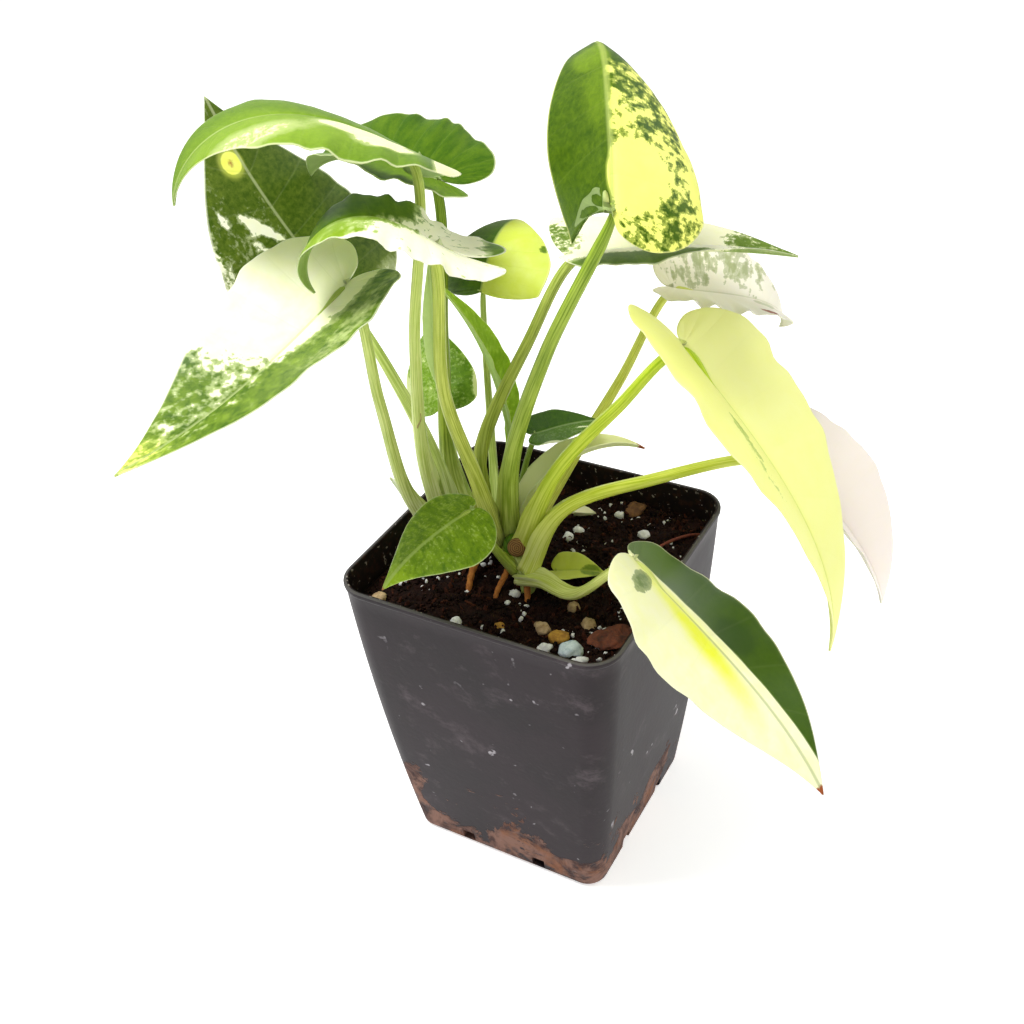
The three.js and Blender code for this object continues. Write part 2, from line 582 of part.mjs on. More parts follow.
// The mix: a block that fills the pot, under a surface of rings that shrink to the middle
function mixSolid() {
  const inset = RIM_BEAD + WALL + CLEAR;
  const resample = (ring) => {
    const corners = [...ring, ring[0]];
    const total = corners.slice(1).reduce((sum, p, i) => sum + p.distanceTo(corners[i]), 0);
    const even = [];
    let passed = 0;
    let i = 0;
    for (let k = 0; k < MIX_SPOKES; k++) {
      const wanted = (total * k) / MIX_SPOKES;
      while (passed + corners[i].distanceTo(corners[i + 1]) < wanted) {
        passed += corners[i].distanceTo(corners[i + 1]);
        i++;
      }
      const step = corners[i].distanceTo(corners[i + 1]);
      even.push(corners[i].clone().lerp(corners[i + 1], step ? (wanted - passed) / step : 0));
    }
    return even;
  };
  const heights = [FLOOR_TOP + CLEAR, 12, 30, 50, 70, 90, MIX_TOP - 3];
  const rings = heights.map((z) => resample(wallRing(z, inset)));
  const edge = resample(wallRing(MIX_TOP, inset));
  for (let k = MIX_RINGS; k > 0; k--) {
    const scale = k / MIX_RINGS;
    rings.push(edge.map((p) => {
      const [x, y] = [p.x * scale, p.y * scale];
      return new THREE.Vector3(x, y, k === MIX_RINGS ? MIX_TOP : mixHeight(x, y));
    }));
  }
  let mix = loft(rings);
  for (const [x, y, radius, flatness] of LUMPS) {
    const lump = new THREE.IcosahedronGeometry(radius, 0)
      .rotateZ(x + y)
      .scale(1, 1, flatness)
      .translate(x, y, mixHeight(x, y) + 0.3 * radius * flatness);
    mix = mix.add(toSolid(Array.from(lump.attributes.position.array)));
  }
  const chip = new THREE.IcosahedronGeometry(0.5, 0)
    .scale(...BARK.size)
    .rotateX(0.25)
    .rotateZ(rad(BARK.turn))
    .translate(...BARK.at);
  mix = mix.add(toSolid(Array.from(chip.attributes.position.array)));
  mix = mix.add(tube(DRY_ROOT.route.map(point), () => DRY_ROOT.radius, { upright: false }));
  return mix.subtract(join(groundedParts(CLEAR + 0.1)));
}

const group = new THREE.Group();

function addPiece(name, solid, { color, roughness, metalness = 0 }) {
  const material = new THREE.MeshStandardMaterial({ color, roughness, metalness });
  const mesh = new THREE.Mesh(toGeometry(solid), material);
  mesh.name = name;
  group.add(mesh);
}

addPiece("pot", potSolid(), { color: 0x3c383a, roughness: 0.55 });
addPiece("potting_mix", mixSolid(), { color: 0x2a1a12, roughness: 0.95 });
addPiece("crown", crownSolid(), { color: 0xa8c848, roughness: 0.5 });
for (const [name, leaf] of Object.entries(LEAVES)) {
  addPiece(name, leafSolid(leaf), { color: leaf.colour, roughness: 0.45 });
}

export default group;
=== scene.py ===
# A small variegated creeping philodendron with heart-shaped leaves, growing in a square nursery pot
import math

import bmesh
import bpy
import numpy as np
from mathutils import Matrix, Vector, noise


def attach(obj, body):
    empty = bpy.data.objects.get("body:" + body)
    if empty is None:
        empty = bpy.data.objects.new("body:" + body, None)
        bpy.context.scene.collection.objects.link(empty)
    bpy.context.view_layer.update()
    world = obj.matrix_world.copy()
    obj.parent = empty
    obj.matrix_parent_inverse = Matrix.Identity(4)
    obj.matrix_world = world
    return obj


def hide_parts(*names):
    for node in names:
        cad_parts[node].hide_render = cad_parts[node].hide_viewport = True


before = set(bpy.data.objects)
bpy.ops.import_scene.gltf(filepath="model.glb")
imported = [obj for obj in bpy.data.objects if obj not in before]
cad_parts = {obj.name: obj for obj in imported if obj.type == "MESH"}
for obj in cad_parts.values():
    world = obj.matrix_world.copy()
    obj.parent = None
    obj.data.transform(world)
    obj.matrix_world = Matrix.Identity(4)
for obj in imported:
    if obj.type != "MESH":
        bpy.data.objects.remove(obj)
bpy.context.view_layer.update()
scene = bpy.context.scene

# Sizes are in millimetres and angles in degrees where no comment says otherwise
MM = 0.001

# Pot. The half widths and corners are its outer ones, and WALL_BULGE is how far its sides belly
# out. Its foot is cut by an arch FOOT_GAP to each side of its middle, which leaves four corner feet,
# and a round pad stands in its middle. Its wall has even steps up to WALL_STEPS_END.
POT_HEIGHT = 119.3
RIM_HALF, BASE_HALF = 50, 38.4
RIM_CORNER, BASE_CORNER = 11.5, 7.7
WALL_BULGE, WALL, RIM_BEAD, RIM_BAND = 1.2, 1.2, 0.5, 2.2
FOOT_HEIGHT, FOOT_GAP, FLOOR_TOP = 2.5, 17, 4.1
PAD_RADIUS, SLOT_WIDTH, SLOT_TOP = 11, 5, 6
WALL_STEPS_END, SHARP_ANGLE = 112, 40

# Potting mix, which keeps CLEAR of the pot
CLEAR = 0.3
MIX_TOP, MIX_RELIEF = 108, 1.1

# Blades. STEPS is how many straight steps a midrib has. The lines of a blade's net fan out from the
# petiole up to VEIN_START of the way round the outline, and beyond it they leave the midrib. A margin
# waves in WAVE_TURNS half turns, and ripples RIPPLE and FINE_RIPPLE times as often, higher on a
# longer leaf. The rib, the groove over it and the quilting between veins are heights. Points nearer
# than SAME_POINT become one. A leaf no longer than SMALL_LEAF has SOME_LINES in its net.
STEPS = 24
LOBE_LENGTH = 0.2
VEIN_START, VEIN_LEAN = 0.33, 1.3
WAVE_TURNS, WAVE_SHIFT = 5, 1.3
RIPPLE, FINE_RIPPLE, FINE_SHARE = 2.3, 3.9, 0.6
RUFFLE_GROWTH, RUFFLE_FROM = 0.006, 25
HALF_THICK = 0.3
VEINS = 11
RIB_SHARE, RIB_LEAST, GROOVE, QUILT = 0.95, 0.18, 0.3, 0.16
SAME_POINT = 1 / 400
MANY_LINES, SOME_LINES, SMALL_LEAF = 96, 72, 45
SHEATH_LINES, THIN_LINES = 48, 40
SEED_STEP = 7.3

# Petioles. They meet the blade at STALK_MEETS of its length and end below it at STALK_ENDS. They
# thin from foot to top and round off from STALK_ROUND of their length. Two wings clasp round their
# foot, as high as WING_HEIGHT of the radius and up to WING_REACH of the length, on both sides of a
# shallow channel that faces up and towards the middle of the crown. Their angles are in radians.
STALK_MEETS, STALK_ENDS = 0.01, 0.15
STALK_THINS, STALK_ROUND = 1.7, 0.9
STALK_SIDES, STALK_STEPS = 36, 60
WING_HEIGHT, WING_REACH, WING_ANGLE, WING_WIDTH = 0.7, 0.3, 0.62, 0.17
CHANNEL_DEPTH, CHANNEL_WIDTH = 0.16, 0.45
CROWN_MIDDLE = -18

# Camera, solved from the corners of the pot in the photograph, and the studio, with places in
# metres. LENS and SENSOR are in millimetres. A lamp has a name, a power in watts, a size and a place.
LENS, SENSOR, NEAREST = 45.13, 36, 0.01
CAMERA_RIGHT, CAMERA_UP = (0.87492, 0.48038, -0.06125), (-0.23524, 0.53215, 0.81332)
CAMERA_BACK, CAMERA_PLACE = (0.42329, -0.69718, 0.57859), (0.173325, -0.299857, 0.377015)
FLOOR_REACH, PAPER, FLOOR_GLOW = 3, 0.9, 0.5
SKY_LIGHT, SKY_SEEN = 0.5, 1.05
LAMPS_AIM = (0, 0, 0.15)
LAMPS = (("key_light", 11, 0.45, (-0.35, -0.2, 1.05)), ("back_light", 3, 0.6, (0.5, 0.75, 0.8)),
         ("side_light", 1.6, 0.5, (1.0, -0.4, 0.35)))

# Colours, and where things lie on the pot, in metres. Dust is thickest at DUSTY_SPOT. Dried earth
# reaches up to EARTH_LINE, raggedly and lower towards +X. The inner wall is INNER_HALF from the
# middle at the height INNER_AT, and leans out by INNER_SLOPE. STUB_RINGS is how fast the stub's
# rings turn, in radians a millimetre.
UNDER_SIDE, DRY_SPOT = "a9bf7c", "9a4f26"
FIBRE_SHADOW, FIBRE_LIGHT = "61752c", "e6ead0"
DUSTY_SPOT, DUST_REACH, DUST_CORE = (-0.012, -0.0475, 0.088), 0.034, 0.008
EARTH_LINE, EARTH_RAGGED, EARTH_SLOPE, EARTH_EDGE = 0.017, 0.12, -0.14, (-0.002, 0.0022)
INNER_AT, INNER_HALF, INNER_SLOPE, INNER_SHOWS = 0.105, 0.0491, 0.063, (0.098, 0.103)
STUB_RINGS = 9.5

# The patch of the mix's surface that grains are scattered on, and its rounded corners
PATCH_REACH, PATCH_STEP, MIX_CORNER = 47.5, 1.5, 9

# Half outlines, x in leaf lengths from the petiole and y in half widths, from the notch to the tip
HEART = [
    [0, 0], [-0.12, 0.08], [-0.2, 0.34], [-0.165, 0.66], [-0.04, 0.91], [0.14, 1],
    [0.34, 0.93], [0.55, 0.7], [0.74, 0.4], [0.88, 0.17], [1, 0],
]
LANCE = [
    [0, 0], [0.01, 0.22], [0.08, 0.5], [0.2, 0.8], [0.36, 0.98], [0.5, 1],
    [0.64, 0.86], [0.78, 0.58], [0.89, 0.3], [0.96, 0.12], [1, 0],
]

# Leaves. at is where the petiole meets the blade; yaw, pitch and roll turn the blade there, and
# bend, sway and twist are what its midrib turns by on the way to the tip. lobes is how far the left
# and the right lobe reach back, in leaf lengths, and drop is how they sink. fold and cup are the
# rise of the left and the right half from the midrib and its change out to the margin, and wave is
# how high the margin waves. The stalk runs from the stem through its points to the blade, and radii
# are its radius at the stem and at the blade.
LEAVES = {
    "leaf_arch": {
        "at": [-25, -10, 252], "yaw": 205, "pitch": 30, "roll": 26,
        "length": 82, "width": 64, "lobes": [0.15, 0.15], "drop": -10, "wave": 0.9,
        "bend": 115, "bendPower": 1.8, "sway": 10, "twist": -30,
        "fold": [4, 11], "cup": [-30, -35],
        "stalk": [[-36, -1, 114], [-37, -7, 147], [-33, -10, 192]],
        "radii": [3, 1.5],
    },
    "leaf_back": {
        "at": [-47, 32, 227], "yaw": 195, "pitch": 20, "roll": 0,
        "length": 51, "width": 60, "lobes": [0.25, 0.3], "drop": 0, "wave": 0.9,
        "bend": 75, "bendPower": 2, "sway": -20, "twist": 0,
        "fold": [22, 32], "cup": [-10, -35],
        "stalk": [[-29, 2, 115], [-39, 10, 131], [-45, 23, 173]],
        "radii": [3.2, 1.7],
    },
    "leaf_heart": {
        "at": [-76, 15, 186], "yaw": 205, "pitch": 55, "roll": -30,
        "length": 80, "width": 68, "lobes": [-0.05, 0.1], "drop": 15, "wave": 0.7,
        "bend": 0, "bendPower": 1.5, "sway": -20, "twist": 0,
        "fold": [-15, 10], "cup": [15, -25],
        "stalk": [[-32, -3, 115], [-38, 1, 140], [-58, 8, 168]],
        "radii": [3.4, 1.5],
    },
    "leaf_lance": {
        "at": [-34, -38, 224], "yaw": 260, "pitch": -20, "roll": 12,
        "length": 86, "width": 54, "lobes": [0.08, 0.15], "drop": 5, "wave": 0.8,
        "bend": -20, "bendPower": 1.5, "sway": 0, "twist": 0,
        "fold": [0, 25], "cup": [15, 10],
        "stalk": [[-37, -5, 114], [-39, -16, 138], [-36, -28, 180]],
        "radii": [2.8, 1.5],
    },
    "leaf_bent": {
        "at": [-8, -30, 237], "yaw": 210, "pitch": 39, "roll": 0,
        "length": 53, "width": 50, "lobes": [0.34, 0.38], "drop": -20, "wave": 0.6,
        "bend": 165, "bendPower": 1.6, "sway": 10, "twist": 0,
        "fold": [18, -3], "cup": [-20, -10],
        "stalk": [[-13, -4, 117], [-12, -15, 150], [-14, -25, 187]],
        "radii": [3, 1.7],
    },
    "leaf_mottled": {
        "at": [30, 0, 240], "yaw": 115, "pitch": 45, "roll": -22,
        "length": 95, "width": 60, "lobes": [-0.12, 0.12], "drop": 0, "wave": 0.8,
        "bend": 115, "bendPower": 2, "sway": 15, "twist": 50,
        "fold": [-40, -22], "cup": [-10, -50],
        "stalk": [[-10, 0, 118], [-4, -5, 155], [10, -4, 195]],
        "radii": [3.4, 2],
    },
    "leaf_flat": {
        "at": [1, 31, 209], "yaw": 40, "pitch": 0, "roll": 0,
        "length": 72, "width": 55, "lobes": [0.05, 0.08], "drop": 10, "wave": 0.8,
        "bend": 10, "bendPower": 1.2, "sway": -20, "twist": 0,
        "fold": [10, 32], "cup": [-15, -35],
        "stalk": [[-22, 2, 116], [-20, 2, 149], [-9, 18, 183]],
        "radii": [3, 1.7],
    },
    "leaf_cream": {
        "at": [22, 62, 188], "yaw": 30, "pitch": -12, "roll": 20,
        "length": 52, "width": 50, "lobes": [0.12, 0.15], "drop": 10, "wave": 0.7,
        "bend": 100, "bendPower": 3, "sway": 10, "twist": 10,
        "fold": [0, 35], "cup": [20, 0],
        "stalk": [[-5, 1, 117], [0, 22, 133], [9, 48, 157]],
        "radii": [2.8, 1.4],
    },
    "leaf_yellow": {
        "at": [42, 23, 190], "yaw": -20, "pitch": -35, "roll": -35,
        "length": 112, "width": 62, "lobes": [0.08, 0.15], "drop": 20, "wave": 0.7,
        "bend": 50, "bendPower": 2, "sway": 30, "twist": 0,
        "fold": [30, 4], "cup": [0, -10],
        "stalk": [[-3, -4, 117], [8, 1, 148], [25, 12, 170]],
        "radii": [3.4, 1.7],
    },
    "leaf_white": {
        "at": [60, 50, 139], "yaw": -5, "pitch": -12, "roll": 0,
        "length": 80, "width": 58, "lobes": [0.1, 0.05], "drop": 30, "wave": 0.6,
        "bend": 80, "bendPower": 0.8, "sway": 20, "twist": 15,
        "fold": [20, 30], "cup": [-20, 20],
        "stalk": [[2, -10, 113], [10, 0, 134], [31, 26, 136]],
        "radii": [3, 1.8],
    },
    "leaf_front": {
        "at": [46, -22, 141], "yaw": -8, "pitch": -35, "roll": -45,
        "length": 88, "width": 66, "lobes": [0.05, 0.05], "drop": 10, "wave": 0.6,
        "bend": 20, "bendPower": 3, "sway": -10, "twist": 45,
        "fold": [5, -5], "cup": [10, -20],
        "stalk": [[0, -11, 111], [10, -14, 115], [25, -21, 120]],
        "radii": [2.9, 1.9], "flat": 1.35,
    },
    "leaf_low": {
        "at": [-2, -35, 154], "yaw": 255, "pitch": 0, "roll": -25,
        "length": 38, "width": 30, "lobes": [0.15, 0.15], "drop": 10, "wave": 0.3,
        "bend": 60, "bendPower": 1.5, "sway": 0, "twist": 10,
        "fold": [-30, -30], "cup": [0, 0],
        "stalk": [[-3, -11, 113], [-4, -20, 128]],
        "radii": [1.9, 1],
    },
    "leaf_middle": {
        "at": [-30, 26, 194], "yaw": 95, "pitch": 55, "roll": -20,
        "length": 38, "width": 47, "lobes": [0.05, 0.05], "drop": 20, "wave": 0.4,
        "bend": 95, "bendPower": 1.5, "sway": 10, "twist": 20,
        "fold": [-10, -10], "cup": [-10, 0],
        "stalk": [[-18, 5, 116], [-30, 25, 140]],
        "radii": [1.9, 1],
    },
    "leaf_round": {
        "at": [-47, 21, 150], "yaw": 130, "pitch": 50, "roll": -30,
        "length": 32, "width": 28, "lobes": [0.1, 0.1], "drop": 10, "wave": 0.3,
        "bend": 30, "bendPower": 1.5, "sway": 0, "twist": 20,
        "fold": [-5, 0], "cup": [-20, -20],
        "stalk": [[-25, 4, 116], [-40, 16, 131]],
        "radii": [1.9, 1],
    },
    "leaf_small": {
        "at": [-4, 11, 154], "yaw": 40, "pitch": 10, "roll": -5,
        "length": 22, "width": 24, "lobes": [0.15, 0.15], "drop": 10, "wave": 0.2,
        "bend": 20, "bendPower": 1.5, "sway": 0, "twist": 10,
        "fold": [0, 5], "cup": [5, 5],
        "stalk": [[-9, 4, 117], [-9, 8, 135]],
        "radii": [1.6, 0.9],
    },
    "leaf_baby": {
        "at": [9, -3, 111], "yaw": 15, "pitch": 10, "roll": 0,
        "length": 17, "width": 16, "lobes": [0.15, 0.15], "drop": 15, "wave": 0.2,
        "bend": 20, "bendPower": 1.5, "sway": 0, "twist": 5,
        "fold": [15, 15], "cup": [0, 5],
        "stalk": [[3, -9, 111], [6, -6, 111]],
        "radii": [1.4, 0.8],
    },
    "leaf_rolled": {
        "outline": LANCE,
        "at": [-16, 17, 144], "yaw": 182, "pitch": 82, "roll": 0,
        "length": 62, "width": 12, "lobes": [0, 0], "drop": 0, "wave": 0,
        "bend": 40, "bendPower": 1.5, "sway": 0, "twist": 10,
        "fold": [20, 30], "cup": [40, 50],
        "stalk": [[-13, 5, 117], [-16, 13, 131]],
        "radii": [2.4, 1.5],
    },
}

# Crown
STEM_ROUTE = [[-42, -4, 109], [-30, -1, 112], [-18, 1, 114], [-9, -1, 116], [-4, -6, 119]]
STEM_RADIUS = 4.4
STUB_ROUTE = [[-5, -4, 118], [-3.4, -7.4, 120], [-2.9, -8.5, 120.6]]
STUB_RADIUS = 3.2
NODE_ROUTE = [[-9, -2, 115], [-2, -8, 113], [2, -11, 110], [3, -13, 104]]
NODE_RADIUS = 4
ROOTS = [
    {"route": [[-16, -2, 113], [-17, -12, 113], [-15, -21, 109], [-14, -24, 100]], "radius": 1.5},
    {"route": [[-6, -6, 113], [-5, -14, 112], [-5, -20, 109], [-5, -23, 100]], "radius": 1.2},
    {"route": [[1, -10, 111], [4, -15, 109], [5, -17, 107], [5, -19, 100]], "radius": 1.3},
    {"route": [[-34, -1, 110], [-36, 4, 107], [-37, 7, 98]], "radius": 1.3},
]

# Stones and lumps on the mix, each with its x and y, radius and flatness, and what else lies there
LUMPS = [
    [26, 30, 2, 0.9], [13, 38, 1.7, 0.9], [17, 43, 3.6, 0.5], [29, -20, 2.6, 0.7],
    [17, -29, 2.6, 0.8], [24, -31, 3.2, 0.7], [30, -35, 3.6, 0.8], [21, -15, 2.4, 0.8],
    [2, 19, 2.2, 0.8], [4, 23, 1.8, 0.8], [0, -16.5, 1.8, 0.8], [-40, -38, 2.6, 0.8],
    [-10, -38, 2, 0.8], [4, -34, 1.6, 0.8], [22, -37, 2.1, 0.8], [35, -38, 2.1, 0.8],
]
DRY_ROOT = {"route": [[31, 23, 107], [36, 30, 109], [41, 37, 108.5], [45, 41, 107]], "radius": 0.9}
BARK = {"at": [39, -24, 109], "size": [15, 9, 3], "turn": 55}
LUMP_LIFT, LUMP_LONG, LUMP_SLIM, LUMP_ROUGH = 0.3, 1.12, 0.88, 0.34

# A dry curl among the petioles
CURL = [[-36.5, -8.6, 157], [-35.6, -10.4, 161], [-33.8, -10.6, 164.5], [-34.2, -10, 167]]

# Thin leaves without a petiole: the sheath leaves, the wing of a sheath along leaf_bent's petiole,
# and the pale bract on the mix
THIN = {"outline": LANCE, "quilt": 0, "drop": 0, "bendPower": 1, "sway": 0}
SHEATHS = {
    "cataphyll_pale": {
        **THIN, "at": [-8, 1, 121], "yaw": 48, "pitch": 75, "roll": 0, "length": 60, "width": 13,
        "bend": 110, "twist": 0, "fold": [38, 38], "cup": [10, 10], "seed": 131.0,
        "colours": ("b7bf7a", "d3d99c", "eef0cc", "e6ea9c"), "pale": (0.8, 0.8),
        "mottle": (0.1, 0.1), "shade": (0.5, 0.5), "yellow": (0.4, 0.4), "vein_show": 0.2,
        "patches": [["dry", 0.95, 1.0, 0, 0.06, 0.1]],
    },
    "cataphyll_narrow": {
        **THIN, "at": [-41, -8, 119], "yaw": 205, "pitch": 72, "roll": 30, "length": 22, "width": 8,
        "bend": 10, "twist": 0, "fold": [30, 30], "cup": [20, 20], "seed": 132.0,
        "colours": ("8fb03a", "c2d68a", "fbfbee", "eef2b0"), "pale": (0.7, 0.3),
        "mottle": (0.3, 0.3), "shade": (0.5, 0.5), "vein_show": 0.2,
    },
    "cataphyll_small": {
        **THIN, "at": [-38, 0, 117], "yaw": 200, "pitch": 78, "roll": 0, "length": 19, "width": 4.5,
        "bend": -5, "twist": 0, "fold": [30, 30], "cup": [20, 20], "seed": 133.0,
        "colours": ("7fa02c", "b2cc66", "eef2c8", "dce68a"), "pale": (0.1, 0.1),
        "mottle": (0.2, 0.2), "shade": (0.5, 0.5), "vein_show": 0.2,
    },
}
WING = {
    **THIN, "at": [-15, -26, 190], "yaw": -40, "pitch": 80, "roll": 0, "length": 42, "width": 7,
    "lobes": [0, 0], "bend": -8, "twist": 10, "fold": [10, 10], "cup": [10, 10], "seed": 150.0,
    "colours": ("8fae3c", "b4cc62", "eaf0be", "dbe58c"), "pale": (0.2, 0.2), "mottle": (0.1, 0.1),
    "shade": (0.6, 0.6),
}
BRACT = {
    **THIN, "at": [-4.5, 31.5, 108.6], "yaw": -8, "pitch": 12, "roll": 0, "length": 13, "width": 6,
    "lobes": [0, 0], "bend": -18, "twist": 0, "fold": [30, 30], "cup": [20, 20], "seed": 140.0,
    "colours": ("b7b77a", "d3d39c", "f0eccb", "e6e09c"), "pale": (0.9, 0.9), "mottle": (0.1, 0.1),
    "shade": (0.5, 0.5),
}

